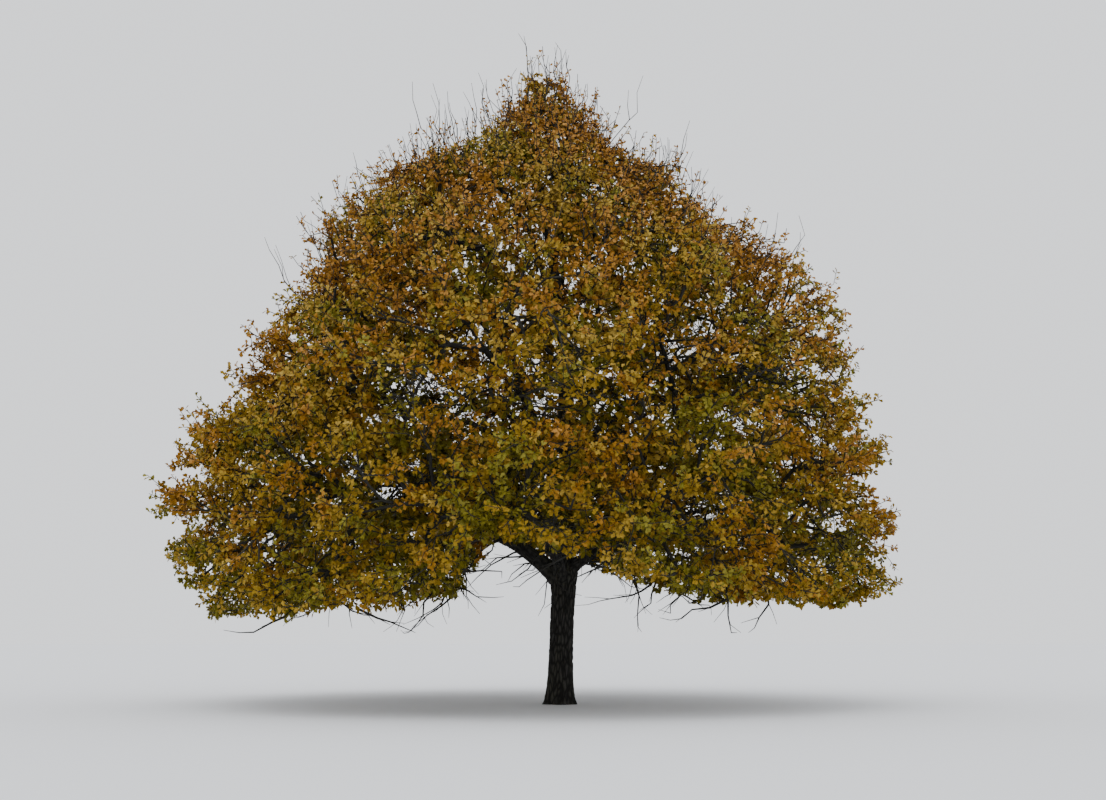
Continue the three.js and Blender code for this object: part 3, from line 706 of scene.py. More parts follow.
def start_growth(bough, place, places):
    """The knots that a mass grows from: along the end of its bough and on its stem."""
    line = bough["line"](np.linspace(BOUGH_KNOTS_FROM, 1, BOUGH_KNOTS))
    along = unit(np.gradient(line, axis=0))
    tip = line[-1]
    reach = STEM_SHARE * np.linalg.norm(tip - place["middle"])
    stem = tip + along[-1] * reach * np.linspace(0, 1, STEM_KNOTS + 1)[:, None]
    inside = in_own_space(line, place, places)
    at = np.concatenate([line[inside], stem[1:]])
    return dict(
        at=at,
        along=np.concatenate([along[inside], np.repeat(along[-1:], STEM_KNOTS, axis=0)]),
        way=np.zeros(len(at)),
        host=[(0, 0)] * len(at),
        twigs=[dict(points=stem, host=None, taper=(1, 1), leafy=False)],
    )


def cheapest_knot(growth, target):
    used = growth["used"]
    way = target - growth["at"][:used]
    length = np.linalg.norm(way, axis=1)
    turn = 1 - np.sum(way * growth["along"][:used], axis=1) / np.maximum(length, TINY)
    cost = length * (1 + TURN_COST * turn) + TWIG_BALANCE * growth["way"][:used]
    return int(np.argmin(cost))


def twig_points(start, along, target, random):
    """A crooked arc that leaves its host partly in the host's direction."""
    way = target - start
    length = np.linalg.norm(way)
    segments = int(np.clip(math.ceil(length / TWIG_STEP), *TWIG_SEGMENTS))
    heading = unit(mix(way / max(length, TINY), along, TWIG_SPRING))
    handle = start + heading * TWIG_HANDLE * length
    t = np.linspace(0, 1, segments + 1)[:, None]
    points = start * (1 - t) ** 2 + 2 * handle * t * (1 - t) + target * t**2
    points[1:-1] += random.normal(size=(segments - 1, 3)) * TWIG_CROOK * length
    return points


def add_knots(growth, points, way, twig):
    """Notes the points of a twig as knots that others can leave."""
    steps = np.linalg.norm(np.diff(points, axis=0), axis=1)
    count = len(steps)
    first = growth["used"]
    growth["at"][first : first + count] = points[1:]
    growth["along"][first : first + count] = unit(np.diff(points, axis=0))
    growth["way"][first : first + count] = way + np.cumsum(steps)
    growth["host"] += [(twig, i) for i in range(1, count + 1)]
    growth["used"] += count


def grow_twig(growth, target, random, knot=None, taper=(1, 1)):
    """Grows a twig to a target. A twig with a taper of its own is bare."""
    knot = cheapest_knot(growth, target) if knot is None else knot
    start = growth["at"][knot].copy()
    points = twig_points(start, growth["along"][knot], target, random)
    growth["twigs"].append(dict(points=points, host=growth["host"][knot], taper=taper, leafy=taper == (1, 1)))
    add_knots(growth, points, growth["way"][knot], len(growth["twigs"]) - 1)


def make_room(growth, more):
    """Gives the arrays of knots room for more of them."""
    growth["used"] = len(growth["at"])
    for key in ("at", "along", "way"):
        room = np.zeros((more, *growth[key].shape[1:]))
        growth[key] = np.concatenate([growth[key], room])


def grow_mass(limbs, place):
    """All twigs of one mass, each with its line, its host and whether it ends in a sprig."""
    places, tier = limbs["places"], place["tier"]
    random = np.random.default_rng(GROWTH_SEED + place["index"])
    growth = start_growth(limbs["boughs"][place["label"]], place, places)
    centres = clump_centres(place, places, random)
    clumps = np.concatenate([clump_targets(centre, place, places, random) for centre in centres])
    inside = FILLERS_WITHIN if tier["count"] > 1 else 1
    fillers = lonely_points(place, places, FILLERS_PER_CLUMP * len(centres), random, clumps, inside)
    targets = np.concatenate([centres, random.permutation(np.concatenate([clumps, fillers]))])
    more = len(targets) + (PLUMES_PER_SHOOT + SHOOTS_TOGETHER) * tier["shoots"]
    branchlets = (HANGING_TWIGS + BOUGH_TWIGS) * TWIG_SEGMENTS[1] ** 2
    make_room(growth, TWIG_SEGMENTS[1] * more + 2 * branchlets)
    for target in targets:
        grow_twig(growth, target, random)
    add_plumes(growth, tier, random)
    add_shoots(growth, tier, random)
    if tier["name"] == "skirt":
        add_hanging_twigs(growth, limbs["boughs"][place["label"]], random)
    return growth["twigs"]


def outward_of(point):
    """The level way from the crown's middle to a point, in radii of the crown."""
    return np.append(point[:2] - [crown_shift(point[2]), 0], 0) / CROWN_RADIUS


def add_plumes(growth, tier, random):
    """Leafy tips that stand out of the crown's surface, upwards and outwards."""
    used = growth["used"]
    outer = np.flatnonzero(crown_share(growth["at"][:used]) > PLUME_FROM)
    for knot in random.permutation(outer)[: PLUMES_PER_SHOOT * tier["shoots"]]:
        start = growth["at"][knot]
        heading = unit(UP + outward_of(start) + random.normal(size=3) * PLUME_SCATTER)
        grow_twig(growth, start + heading * random.uniform(*PLUME_LENGTHS), random, knot)


def add_shoots(growth, tier, random):
    """Bare whippy shoots that stand above the leaves, a few together."""
    used = growth["used"]
    height = growth["at"][:used, 2] + SHOOT_DEPTH * random.random(used)
    highest = np.argsort(-height)[: SHOOT_CHOICES * tier["shoots"]]
    for knot in random.permutation(highest)[: tier["shoots"]]:
        start = growth["at"][knot]
        for _ in range(random.integers(1, SHOOTS_TOGETHER + 1)):
            lean = np.append(random.normal(size=2) * SHOOT_SCATTER, 1.0)
            heading = unit(lean + SHOOT_OUTWARD * outward_of(start))
            tip = start + heading * random.uniform(*SHOOT_LENGTHS)
            tip[2] = min(tip[2], TREE_HEIGHT)
            grow_twig(growth, tip, random, knot, SHOOT_TAPER)


def held_in(tip):
    """A branchlet's tip, kept above the ground and within the crown's reach."""
    middle = np.array([crown_shift(tip[2]), 0])
    out = np.linalg.norm(tip[:2] - middle)
    held = middle + (tip[:2] - middle) * min(1, BRANCHLET_REACH / out)
    return np.append(held, max(tip[2], BRANCHLET_LOWEST))


def add_branchlet(growth, knot, random):
    """A bare branchlet that leads outwards and down, with side twigs of its own."""
    length = random.uniform(*BRANCHLET_LENGTHS)
    scatter = random.normal(size=3) * BRANCHLET_SCATTER
    heading = unit(growth["along"][knot] * [1, 1, 0] + scatter - BRANCHLET_DROOP * UP)
    first = growth["used"]
    grow_twig(growth, held_in(growth["at"][knot] + heading * length), random, knot, BRANCHLET_TAPER)
    for side in range(first, growth["used"]):
        scatter = random.normal(size=3) * BRANCHLET_SIDE_SCATTER
        out = unit(heading + scatter) * length * random.uniform(*BRANCHLET_SIDES)
        grow_twig(growth, held_in(growth["at"][side] + out), random, side, SHOOT_TAPER)


def add_hanging_twigs(growth, bough, random):
    """Bare branchlets below the leaves of the skirt and on the inner part of its bough."""
    used = growth["used"]
    at = growth["at"][:used]
    near = np.hypot(at[:, 0] - CROWN_SHIFT, at[:, 1]) < HANGING_WITHIN
    low = np.flatnonzero(near & (at[:, 2] < HANGING_BELOW))
    for knot in random.permutation(low)[:HANGING_TWIGS]:
        add_branchlet(growth, knot, random)
    line = bough["line"](np.linspace(*BOUGH_TWIGS_AT, BOUGH_TWIGS + 1))
    first = growth["used"]
    add_knots(growth, line, 0, 0)
    growth["host"][first:] = [(0, 0)] * BOUGH_TWIGS
    for knot in range(first, growth["used"]):
        add_branchlet(growth, knot, random)


def radii_of(twigs):
    """Radii at every point of the twigs of a mass, from the number of tips that each feeds."""
    fed = [np.zeros(len(twig["points"])) for twig in twigs]
    radii = [None] * len(twigs)
    for i in range(len(twigs) - 1, -1, -1):
        load = 1 + np.cumsum(fed[i][::-1])[::-1]
        radii[i] = TWIG_TIP_RADIUS * load**TWIG_POWER * np.linspace(*twigs[i]["taper"], len(load))
        host = twigs[i]["host"]
        if host is not None:
            fed[host[0]][host[1]] += load[0]
    return radii


# Sprigs and their tints

def sprig_leaves(ends, lasts, random):
    """Foot, direction, face and length of every leaf, set round the last stretches of twigs."""
    count = len(ends)
    stretch = np.minimum(np.linalg.norm(lasts, axis=1), SPRIG_LENGTH)[:, None, None]
    headings = unit(lasts)
    number = np.arange(LEAVES_PER_SPRIG)
    turn = np.radians(number * GOLDEN_ANGLE + random.uniform(0, 360, (count, 1)))
    spread = np.radians(random.uniform(*LEAF_SPREAD, (count, LEAVES_PER_SPRIG)))
    side = unit(np.cross(headings, NOT_QUITE_UP))
    other = np.cross(headings, side)
    around = np.cos(turn)[..., None] * side[:, None] + np.sin(turn)[..., None] * other[:, None]
    along = np.cos(spread)[..., None] * headings[:, None] + np.sin(spread)[..., None] * around
    along = unit(along - UP * LEAF_DROOP * random.random((count, LEAVES_PER_SPRIG, 1)))
    back = stretch * random.random((count, LEAVES_PER_SPRIG, 1))
    foot = ends[:, None] - headings[:, None] * back
    outward = unit(ends * np.array([1, 1, 0]) + TINY)[:, None]
    face = UP + LEAF_FACE_OUTWARD * outward + LEAF_FLUTTER * random.normal(size=foot.shape)
    length = random.uniform(*LEAF_LENGTHS, (count, LEAVES_PER_SPRIG))
    return foot, along, unit(face), length


def dealt(values, shares):
    """Deals numbered shares of the points out by the rank of their values."""
    rank = np.argsort(np.argsort(values)) / len(values)
    return np.searchsorted(np.cumsum(shares)[:-1], rank, side="right")


def tone_of(points, weights, random):
    """How warm each sprig is, or how light as painted light and random tone: higher up, further out and by
    chance more so.
    """
    outer = share_between(crown_share(points), *TUFT_SHARES)
    tone = weights["outer"] * outer + weights["height"] * share_between(points[:, 2], *TINT_HEIGHTS)
    for weight, length, seed in weights["drifts"]:
        tone += weight * drift(points, length, seed)
    return tone + weights["chance"] * random.normal(size=len(points))


def tint_of(points, random):
    """The family and the step of each sprig's tint: olive with painted shade in hollows, warm with painted
    light on tufts.
    """
    hollow = opened(points, HOLLOWS)
    warmth = tone_of(points, WARMTH, random) - HOLLOW_COOL * hollow
    # The darker steps in hollows are painted shade.
    painted_light_and_tone = tone_of(points, PAINTED_LIGHT_AND_TONE, random) - HOLLOW_PAINTED_SHADE * hollow
    family = dealt(warmth, TINT_SHARES)
    step = np.zeros(len(points), int)
    for number in range(len(TINTS)):
        same = family == number
        step[same] = dealt(painted_light_and_tone[same], STEP_SHARES)
    return family, step


def shape_of(foot, random):
    """Which leaf shape each leaf has, and whether it is a shade leaf."""
    shaded = crown_share(foot.reshape(-1, 3)).reshape(foot.shape[:2]) < SHADE_DEPTH
    sun_shape = random.integers(0, SUN_SHAPES, shaded.shape)
    shade_shape = random.integers(SUN_SHAPES, len(LEAF_SHAPES), shaded.shape)
    return np.where(shaded, shade_shape, sun_shape), shaded


def still_on(foot, random):
    """Which leaves are still on the tree: its top, its windows and its hollows have lost some."""
    points = foot.reshape(-1, 3)
    height, share = points[:, 2], crown_share(points)
    at_edge = share_between(height, *THIN_EDGE_HEIGHTS) * share_between(share, *THIN_EDGE_BETWEEN)
    at_top = share_between(height, *THIN_TOP_HEIGHTS)
    in_hollow = opened(points, HOLLOWS) * (points[:, 1] < HOLLOW_BACK)
    lost = np.max([THIN_EDGE * at_edge, THIN_TOP * at_top, opened(points, WINDOWS), in_hollow], axis=0)
    lost = lost.reshape(foot.shape[:2])
    return random.random(lost.shape) > lost


# Meshes and nodes

def plain_mesh(name, vertices, edges=(), faces=()):
    mesh = bpy.data.meshes.new(name)
    mesh.from_pydata([tuple(v) for v in vertices], [tuple(e) for e in edges], [tuple(f) for f in faces])
    mesh.update()
    return mesh


def set_attributes(mesh, **attributes):
    """Gives each point of a mesh its vectors, whole numbers or numbers."""
    for name, values in attributes.items():
        vectors = values.ndim == 2
        whole = values.dtype.kind == "i"
        kind = "FLOAT_VECTOR" if vectors else "INT" if whole else "FLOAT"
        attribute = mesh.attributes.new(name, kind, "POINT")
        plain = values.astype(np.int32 if whole else np.float32).ravel()
        attribute.data.foreach_set("vector" if vectors else "value", plain)


def grown_piece(name, mesh, tree, **inputs):
    """A piece whose plain mesh is what a node tree makes of a mesh, with only what its material reads."""
    piece = bpy.data.objects.new(name, mesh)
    modifier = piece.modifiers.new("grow", "NODES")
    modifier.node_group = tree
    for item in tree.interface.items_tree:
        if item.name in inputs:
            modifier[item.identifier] = inputs[item.name]
    bpy.context.collection.objects.link(piece)
    evaluated = piece.evaluated_get(bpy.context.evaluated_depsgraph_get())
    grown = bpy.data.meshes.new_from_object(evaluated)
    piece.modifiers.remove(modifier)
    piece.data = grown
    for used in ("radius", "along", "face", "size", "shape", "outward", "relief"):
        if used in grown.attributes:
            grown.attributes.remove(grown.attributes[used])
    return piece


def fill_in(tree, node, inputs):
    """Links or sets inputs of a node, each by its name or number."""
    for socket, value in inputs.items():
        if isinstance(value, bpy.types.NodeSocket):
            tree.links.new(value, node.inputs[socket])
        else:
            node.inputs[socket].default_value = value


def outputs_of(tree, kind, inputs, **settings):
    """Adds a node with its settings and inputs, and gives its outputs."""
    node = tree.nodes.new(kind)
    for name, value in settings.items():
        setattr(node, name, value)
    fill_in(tree, node, inputs)
    return node.outputs


def math_of(tree, operation, *values):
    return outputs_of(tree, "ShaderNodeMath", dict(enumerate(values)), operation=operation)["Value"]


def vector_of(tree, operation, inputs):
    return outputs_of(tree, "ShaderNodeVectorMath", inputs, operation=operation)["Vector"]


def noise_of(tree, place, scale, detail, **inputs):
    inputs = {"Vector": place, "Scale": scale, "Detail": detail, **inputs}
    return outputs_of(tree, "ShaderNodeTexNoise", inputs)


def ranged(tree, value, given, to=(0, 1), **settings):
    """A value from one range carried over to another."""
    ends = {"From Min": given[0], "From Max": given[1], "To Min": to[0], "To Max": to[1]}
    return outputs_of(tree, "ShaderNodeMapRange", {"Value": value, **ends}, **settings)["Result"]


def blended(tree, share, a, b):
    return outputs_of(tree, "ShaderNodeMix", {"Factor": share, "A": a, "B": b}, data_type="RGBA")["Result"]


def named_attribute(tree, name, kind):
    return outputs_of(tree, "GeometryNodeInputNamedAttribute", {"Name": name}, data_type=kind)["Attribute"]


def node_group(name, kind, inputs, outputs):
    """A node group with named inputs and outputs, what it is given and what it puts out."""
    group = bpy.data.node_groups.new(name, kind)
    for way, sockets in (("INPUT", inputs), ("OUTPUT", outputs)):
        for label, socket in sockets.items():
            group.interface.new_socket(label, in_out=way, socket_type=f"NodeSocket{socket}")
    return group, group.nodes.new("NodeGroupInput").outputs, group.nodes.new("NodeGroupOutput").inputs


def geometry_tree(name, inputs):
    inputs = {"Geometry": "Geometry", **inputs, "Material": "Material"}
    return node_group(name, "GeometryNodeTree", inputs, {"Geometry": "Geometry"})


def finished(tree, geometry, given, result):
    """Ends a tree in Realize Instances and Set Material."""
    realized = outputs_of(tree, "GeometryNodeRealizeInstances", {"Geometry": geometry})["Geometry"]
    inputs = {"Geometry": realized, "Material": given["Material"]}
    tree.links.new(outputs_of(tree, "GeometryNodeSetMaterial", inputs)["Geometry"], result["Geometry"])
    return tree


def twig_tree():
    """Turns lines with a radius at each point into closed tapering tubes."""
    tree, given, result = geometry_tree("twigs_from_lines", {"Sides": "Int"})
    line = outputs_of(tree, "GeometryNodeMeshToCurve", {"Mesh": given["Geometry"]})
    ring = outputs_of(tree, "GeometryNodeCurvePrimitiveCircle", {"Resolution": given["Sides"], "Radius": 1})
    inputs = {"Curve": line["Curve"], "Profile Curve": ring["Curve"], "Fill Caps": True}
    inputs["Scale"] = named_attribute(tree, "radius", "FLOAT")
    tube = outputs_of(tree, "GeometryNodeCurveToMesh", inputs)
    return finished(tree, tube["Mesh"], given, result)


def leaf_tree():
    """Sets a leaf on every point, turned by its direction and its face."""
    tree, given, result = geometry_tree("leaves_on_points", dict.fromkeys(LEAF_SHAPES, "Object"))
    join = tree.nodes.new("GeometryNodeJoinGeometry")
    for name in reversed(LEAF_SHAPES):
        leaf = outputs_of(tree, "GeometryNodeObjectInfo", {"As Instance": True, "Object": given[name]})
        tree.links.new(leaf["Geometry"], join.inputs["Geometry"])
    axes = {
        "Primary Axis": named_attribute(tree, "along", "FLOAT_VECTOR"),
        "Secondary Axis": named_attribute(tree, "face", "FLOAT_VECTOR"),
    }
    turn = outputs_of(tree, "FunctionNodeAxesToRotation", axes, primary_axis="Y", secondary_axis="Z")
    inputs = {
        "Points": given["Geometry"],
        "Instance": join.outputs["Geometry"],
        "Pick Instance": True,
        "Instance Index": named_attribute(tree, "shape", "INT"),
        "Rotation": turn["Rotation"],
        "Scale": named_attribute(tree, "size", "FLOAT"),
    }
    leaves = outputs_of(tree, "GeometryNodeInstanceOnPoints", inputs)
    return finished(tree, leaves["Instances"], given, result)


def relief_tree():
    """Moves a limb's surface by the plates and furrows of its bark, and notes where the ridges are."""
    tree, given, result = geometry_tree("bark_relief", {"Plate Width": "Float", "Warp": "Float"})
    place = named_attribute(tree, "bark_place", "FLOAT_VECTOR")
    fine = math_of(tree, "DIVIDE", 1, given["Plate Width"])
    bends = noise_of(tree, place, math_of(tree, "MULTIPLY", fine, PLATE_WARP_FINENESS), PLATE_DETAIL)
    warp = vector_of(tree, "SCALE", {0: bends["Color"], "Scale": given["Warp"]})
    warped = vector_of(tree, "ADD", {0: warp, 1: place})
    inputs = {"Vector": warped, "Scale": fine}
    plates = outputs_of(tree, "ShaderNodeTexVoronoi", inputs, feature="DISTANCE_TO_EDGE")
    ridge = ranged(tree, plates["Distance"], (0, PLATE_FURROW), interpolation_type="SMOOTHSTEP")
    height = math_of(tree, "MULTIPLY_ADD", ridge, PLATE_RISE, -1)
    grain = noise_of(tree, place, math_of(tree, "MULTIPLY", fine, PLATE_GRAIN_FINENESS), PLATE_DETAIL)
    height = math_of(tree, "MULTIPLY_ADD", grain["Fac"], PLATE_GRAIN_RISE, height)
    depth = math_of(tree, "MULTIPLY", height, named_attribute(tree, "relief", "FLOAT"))
    outward = named_attribute(tree, "outward", "FLOAT_VECTOR")
    offset = vector_of(tree, "SCALE", {0: outward, "Scale": depth})
    inputs = {"Geometry": given["Geometry"], "Offset": offset}
    moved = outputs_of(tree, "GeometryNodeSetPosition", inputs)
    inputs = {"Geometry": moved["Geometry"], "Name": "ridge", "Value": ridge}
    noted = outputs_of(tree, "GeometryNodeStoreNamedAttribute", inputs)
    return finished(tree, noted["Geometry"], given, result)


# Surfaces of the limbs

def frames_along(points, level_below):
    """At each point of a line, two unit vectors square to it that turn as little as they can."""
    tangents = unit(np.gradient(points, axis=0))
    level = 1 - smooth(points[:, 2], level_below, level_below + LEVEL_FADE)
    tangents = unit(mix(tangents, UP, level[:, None]))
    side = np.array([1.0, 0.0, 0.0]) if abs(tangents[0][2]) > STEEP else UP
    sides = []
    for tangent in tangents:
        side = unit(side - tangent * np.dot(side, tangent))
        sides.append(side)
    sides = np.array(sides)
    return sides, np.cross(sides, tangents)


def limb_surface(points, radii, sides, swell, shift, level_below=BELOW_GROUND):
    """A closed tube along a line, with what its bark needs at each vertex."""
    rings = len(points)
    angle = np.linspace(0, 2 * math.pi, sides, endpoint=False)
    side, other = frames_along(points, level_below)
    outward = np.sin(angle)[None, :, None] * side[:, None] + np.cos(angle)[None, :, None] * other[:, None]
    surface = points[:, None] + outward * (radii[:, None] * swell(points, angle))[..., None]
    way = np.concatenate([[0], np.cumsum(np.linalg.norm(np.diff(points, axis=0), axis=1))])
    wide = np.full(rings, radii.mean())[:, None]
    along = np.repeat(way[:, None], sides, 1) / BARK_STRETCH
    bark_place = np.stack([wide * np.cos(angle), wide * np.sin(angle), along], -1)
    ring = np.arange(rings - 1)[:, None] * sides
    here = np.arange(sides)[None]
    after = (here + 1) % sides
    corners = (ring + here, ring + sides + here, ring + sides + after, ring + after)
    quads = np.stack(corners, -1).reshape(-1, 4)
    foot, tip, last = rings * sides, rings * sides + 1, (rings - 1) * sides
    caps = [(foot, i, (i + 1) % sides) for i in range(sides)]
    caps += [(tip, last + (i + 1) % sides, last + i) for i in range(sides)]
    still = np.zeros((2, 3))
    relief = np.repeat(np.minimum(BARK_RELIEF * radii, BARK_RELIEF_MOST), sides)
    return dict(
        vertices=np.concatenate([surface.reshape(-1, 3), points[[0, -1]]]),
        faces=[tuple(quad) for quad in quads.tolist()] + caps,
        outward=np.concatenate([outward.reshape(-1, 3), still]),
        bark_place=np.concatenate([bark_place.reshape(-1, 3), still]) + shift,
        relief=np.concatenate([relief, [0, 0]]),
    )


def trunk_swell(points, angle):
    z = points[:, 2][:, None]
    lobes = ROOT_LOBE_SHARE * np.exp(-z / ROOT_LOBE_FADE) * np.cos(ROOT_LOBES * angle)
    wave, phase = TRUNK_BUMP_WAVE
    bumps = np.sin(TRUNK_BUMPS_ROUND * angle + TRUNK_BUMP_TWIST * z) * np.cos(wave * z + phase)
    return 1 + lobes + TRUNK_BUMPS * bumps


def bough_swell(points, angle):
    return np.ones((len(points), len(angle)))


def joined_surface(name, parts):
    """Several limbs as one mesh with the attributes that the bark reads."""
    firsts = np.cumsum([0] + [len(part["vertices"]) for part in parts])
    faces = [tuple(first + i for i in face) for first, part in zip(firsts, parts) for face in part["faces"]]
    whole = {key: np.concatenate([part[key] for part in parts]) for key in parts[0] if key != "faces"}
    mesh = plain_mesh(name, whole.pop("vertices"), faces=faces)
    set_attributes(mesh, **whole)
    mesh.polygons.foreach_set("use_smooth", np.full(len(mesh.polygons), True))
    return mesh


def trunk_surface(leader):
    """The trunk and its leader as one limb, from the flat cut at the ground to the top mass."""
    low = np.array([trunk_point(z) for z in np.arange(0, FORK_HEIGHT - LEADER_RADII[0], TRUNK_RING_STEP)])
    length = np.linalg.norm(leader["coarse"][-1] - leader["coarse"][0])
    shares = np.linspace(0, 1, int(length / LEADER_RING_STEP))
    high = leader["line"](shares)
    high_radii = np.where(high[:, 2] < FORK_HEIGHT, trunk_radius(high[:, 2]), taper(LEADER_RADII, shares))
    radii = np.concatenate([trunk_radius(low[:, 2]), high_radii])
    level_below = FORK_HEIGHT - TRUNK_LEVEL_BELOW_FORK
    return limb_surface(np.concatenate([low, high]), radii, TRUNK_SIDES, trunk_swell, 0, level_below)


def bough_surface(bough, number):
    """A bough whose foot is rounded inside its carrier and swells into a collar where it leaves it."""
    length = np.linalg.norm(bough["coarse"][-1] - bough["coarse"][0])
    shares = np.linspace(0, 1, int(length / BOUGH_RING_STEP) + BOUGH_EXTRA_RINGS)
    way = shares * length
    foot = bough["radii"][0]
    collar = min(COLLAR, COLLAR_WITHIN * bough["held_by"] / foot - 1)
    swell = 1 + collar * np.exp(-np.maximum(way - foot, 0) / COLLAR_FADE)
    rounding = np.sqrt(1 - (1 - np.clip(way / foot, BOUGH_FOOT_START, 1)) ** 2)
    radii = taper(bough["radii"], shares) * swell * rounding
    return limb_surface(bough["line"](shares), radii, BOUGH_SIDES, bough_swell, BARK_APART * (number + 1))


# Materials

def new_material(name):
    """A material with little gloss, its nodes and its shader."""
    material = bpy.data.materials.new(name)
    material.use_nodes = True
    shader = material.node_tree.nodes["Principled BSDF"]
    shader.inputs["Specular IOR Level"].default_value = GLOSS
    return material, material.node_tree, shader


def plain_material(name, colour, roughness):
    material, tree, shader = new_material(name)
    fill_in(tree, shader, {"Base Color": (*colour, 1), "Roughness": roughness})
    return material


def weathered_bark_group():
    """Dark bark with grey ridges and greenish algae: colour, roughness and height."""
    inputs = {"Place": "Vector", "Ridge": "Float", "Streaks": "Float", "Algae": "Float"}
    outputs = {"Colour": "Color", "Roughness": "Float", "Height": "Float"}
    group, given, result = node_group("weathered_bark", "ShaderNodeTree", inputs, outputs)
    place, ridge = given["Place"], given["Ridge"]
    streaks = noise_of(group, place, given["Streaks"], STREAK_DETAIL, Roughness=STREAK_ROUGHNESS)["Fac"]
    patches = noise_of(group, place, ALGAE_PATCHES, ALGAE_DETAIL)["Fac"]
    tone = math_of(group, "MULTIPLY", ridge, streaks)
    wood = blended(group, tone, FURROW_COLOUR, RIDGE_COLOUR)
    share = math_of(group, "MULTIPLY", ranged(group, patches, ALGAE_COVER), given["Algae"])
    green = blended(group, math_of(group, "MULTIPLY", share, ridge), wood, ALGAE_COLOUR)
    rough = ranged(group, tone, (0, 1), BARK_ROUGHNESS)
    for label, value in (("Colour", green), ("Roughness", rough), ("Height", streaks)):
        group.links.new(value, result[label])
    return group


def bark_material(name, group, streaks, algae, bump, on_limb):
    """Bark with algae on its upper side. On a limb it reads the ridges, on a twig only its place."""
    material, tree, shader = new_material(name)
    if on_limb:
        place = outputs_of(tree, "ShaderNodeAttribute", {}, attribute_name="bark_place")["Vector"]
        ridge = outputs_of(tree, "ShaderNodeAttribute", {}, attribute_name="ridge")["Fac"]
    else:
        place = outputs_of(tree, "ShaderNodeTexCoord", {})["Object"]
        ridge = TWIG_RIDGE
    normal = outputs_of(tree, "ShaderNodeNewGeometry", {})["Normal"]
    facing = outputs_of(tree, "ShaderNodeSeparateXYZ", {"Vector": normal})["Z"]
    upper = ranged(tree, facing, ALGAE_FACING, (ALGAE_LEAST * algae, algae))
    inputs = {"Place": place, "Ridge": ridge, "Streaks": streaks, "Algae": upper}
    bark = outputs_of(tree, "ShaderNodeGroup", inputs, node_tree=group)
    inputs = {"Height": bark["Height"], "Strength": bump, "Distance": BUMP_DEPTH}
    relief = outputs_of(tree, "ShaderNodeBump", inputs)["Normal"]
    fill_in(tree, shader, {"Base Color": bark["Colour"], "Roughness": bark["Roughness"], "Normal": relief})
    return material


# Pieces

def own(piece, slot, nodes):
    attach(piece, "root")
    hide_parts(*nodes)


def leaf_shape(name, right, left, fold, curl):
    """One leaf, its foot at the origin and its length along +Y, as a fan of triangles on each side."""
    vertices = [(0, 0, 0), (0, 1, curl)]
    vertices += [(x, y, fold * x) for x, y in right] + [(-x, y, fold * x) for x, y in left]
    first = 2 + len(right)
    faces = half_leaf(range(2, first)) + [face[::-1] for face in half_leaf(range(first, len(vertices)))]
    shape = bpy.data.objects.new(name, plain_mesh(name, vertices, faces=faces))
    bpy.context.collection.objects.link(shape)
    return shape


def half_leaf(edge):
    """The triangles between the midrib, from vertex 0 to vertex 1, and the outline of one side."""
    if len(edge) == 3:
        return [(0, edge[0], edge[1]), (0, edge[1], 1), (edge[1], edge[2], 1)]
    if len(edge) == 2:
        return [(0, edge[0], edge[1]), (0, edge[1], 1)]
    return [(0, edge[0], 1)]


def lines_mesh(name, lines, radii):
    """Separate lines as one mesh of edges with a radius at each point."""
    counts = np.array([len(line) for line in lines])
    first = np.concatenate([[0], np.cumsum(counts)[:-1]])
    edges = np.concatenate([np.arange(n - 1) + start for n, start in zip(counts, first)])
    mesh = plain_mesh(name, np.concatenate(lines), edges=np.stack([edges, edges + 1], 1))
    set_attributes(mesh, radius=np.concatenate(radii))
    return mesh


def make_twigs(lines, radii, foliage_nodes, barks):
    """Branches, and fine twigs low and high in the crown, each kind a piece."""
    tree = twig_tree()
    thick = np.array([radius[0] > BRANCH_RADIUS for radius in radii])
    high = np.array([line[-1][2] > TWIG_PIECES_MEET for line in lines])
    kinds = (
        ("branches", thick, BRANCH_SIDES, "branch_bark"),
        ("fine_twigs_low", ~thick & ~high, TWIG_SIDES, "twig_bark"),
        ("fine_twigs_high", ~thick & high, TWIG_SIDES, "twig_bark"),
    )
    for name, chosen, sides, bark in kinds:
        picked = np.flatnonzero(chosen)
        mesh = lines_mesh(name, [lines[i] for i in picked], [radii[i] for i in picked])
        piece = grown_piece(name, mesh, tree, Sides=sides, Material=barks[bark])
        own(piece, "bark", foliage_nodes)


def make_leaves(ends, lasts, foliage_nodes):
    """One piece of leaves for each tint."""
    random = np.random.default_rng(GROWTH_SEED)
    shapes = {name: leaf_shape(name, *form) for name, form in LEAF_SHAPES.items()}
    tree = leaf_tree()
    foot, along, face, length = sprig_leaves(ends, lasts, random)
    family, step = (np.repeat(one[:, None], LEAVES_PER_SPRIG, 1) for one in tint_of(ends, random))
    shape, shaded = shape_of(foot, random)
    size = mix(1, TOP_LEAF_SIZE, share_between(foot[..., 2], *TOP_LEAVES_BETWEEN))
    length = np.where(shaded, SHADE_LEAF_SIZE, 1) * size * length
    kept = still_on(foot, random)
    tints = [tint for tints in TINTS for tint in tints.items()]
    for number, (name, colour) in enumerate(tints):
        chosen = (family * len(STEP_SHARES) + step == number) & kept
        mesh = plain_mesh(name, foot[chosen])
        set_attributes(mesh, along=along[chosen], face=face[chosen], size=length[chosen], shape=shape[chosen])
        material = plain_material(f"{name}_leaf", colour, LEAF_ROUGHNESS)
        piece = grown_piece(f"leaves_{name}", mesh, tree, Material=material, **shapes)
        own(piece, "foliage", foliage_nodes)
    for one in shapes.values():
        bpy.data.objects.remove(one)


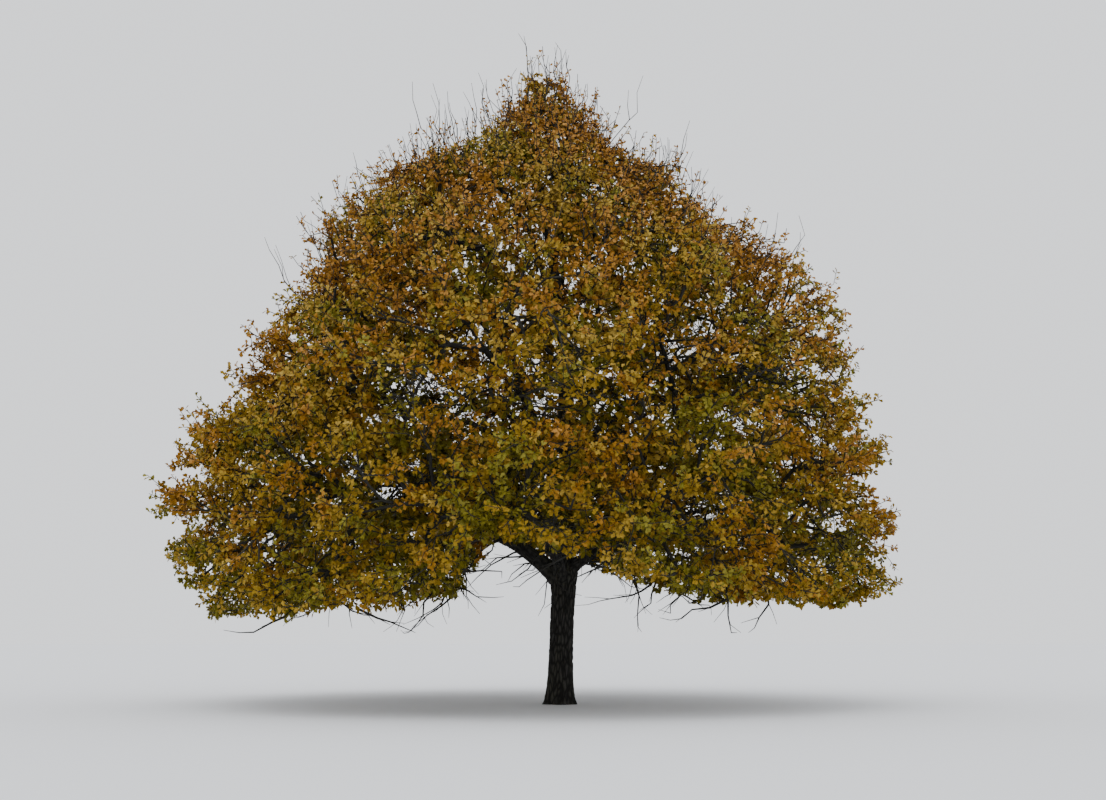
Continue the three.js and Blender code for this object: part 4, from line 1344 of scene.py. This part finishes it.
def make_limb_pieces(limbs, barks):
    """The trunk with its leader, and all boughs, each a piece with the bark's relief."""
    tree = relief_tree()
    stem = joined_surface("stem", [trunk_surface(limbs["boughs"]["top"])])
    piece = grown_piece("trunk_and_leader_bark", stem, tree, Material=barks["trunk_bark"], **TRUNK_PLATES)
    own(piece, "bark", ["trunk", "leader"])
    boughs = [bough for label, bough in limbs["boughs"].items() if label != "top"]
    arms = joined_surface("arms", [bough_surface(bough, number) for number, bough in enumerate(boughs)])
    piece = grown_piece("bough_bark", arms, tree, Material=barks["bough_bark"], **BOUGH_PLATES)
    own(piece, "bark", [bough["node"] for bough in boughs])


def make_tree():
    limbs = make_limbs()
    group = weathered_bark_group()
    barks = {name: bark_material(name, group, **looks) for name, looks in BARKS.items()}
    make_limb_pieces(limbs, barks)
    lines, radii, ends, lasts = [], [], [], []
    for place in limbs["places"]:
        twigs = grow_mass(limbs, place)
        lines += [twig["points"] for twig in twigs]
        radii += radii_of(twigs)
        tips = [twig["points"][-2:] for twig in twigs if twig["leafy"]]
        ends += [tip[1] for tip in tips]
        lasts += [tip[1] - tip[0] for tip in tips]
    foliage_nodes = [f"{place['label']}_foliage" for place in limbs["places"]]
    make_twigs(lines, radii, foliage_nodes, barks)
    make_leaves(np.array(ends), np.array(lasts), foliage_nodes)


# Stage

def make_floor():
    half = FLOOR_HALF
    corners = [(-half, -half, 0), (half, -half, 0), (half, half, 0), (-half, half, 0)]
    floor = bpy.data.objects.new("floor", plain_mesh("floor", corners, faces=[(0, 1, 2, 3)]))
    floor.data.materials.append(plain_material("pale_floor", FLOOR_COLOUR, FLOOR_ROUGHNESS))
    bpy.context.collection.objects.link(floor)


def make_light():
    world = bpy.data.worlds.new("overcast")
    world.use_nodes = True
    sky = world.node_tree.nodes["Background"]
    fill_in(world.node_tree, sky, {"Color": SKY_COLOUR, "Strength": SKY_STRENGTH})
    bpy.context.scene.world = world
    sun = bpy.data.lights.new("soft_sun", "SUN")
    sun.energy = SUN_STRENGTH
    sun.angle = math.radians(SUN_SIZE)
    lamp = bpy.data.objects.new("soft_sun", sun)
    lamp.rotation_euler = [math.radians(turn) for turn in SUN_TURN]
    bpy.context.collection.objects.link(lamp)


def make_camera():
    camera = bpy.data.cameras.new("camera")
    camera.lens = LENS
    camera.sensor_width = SENSOR_WIDTH
    camera.clip_end = SIGHT
    eye = bpy.data.objects.new("camera", camera)
    eye.location = VIEWPOINT + [CAMERA_ASIDE, 0, 0]
    eye.rotation_euler = (math.radians(90 + CAMERA_TILT), 0, 0)
    bpy.context.collection.objects.link(eye)
    bpy.context.scene.camera = eye


make_camera()
make_tree()
make_floor()
make_light()

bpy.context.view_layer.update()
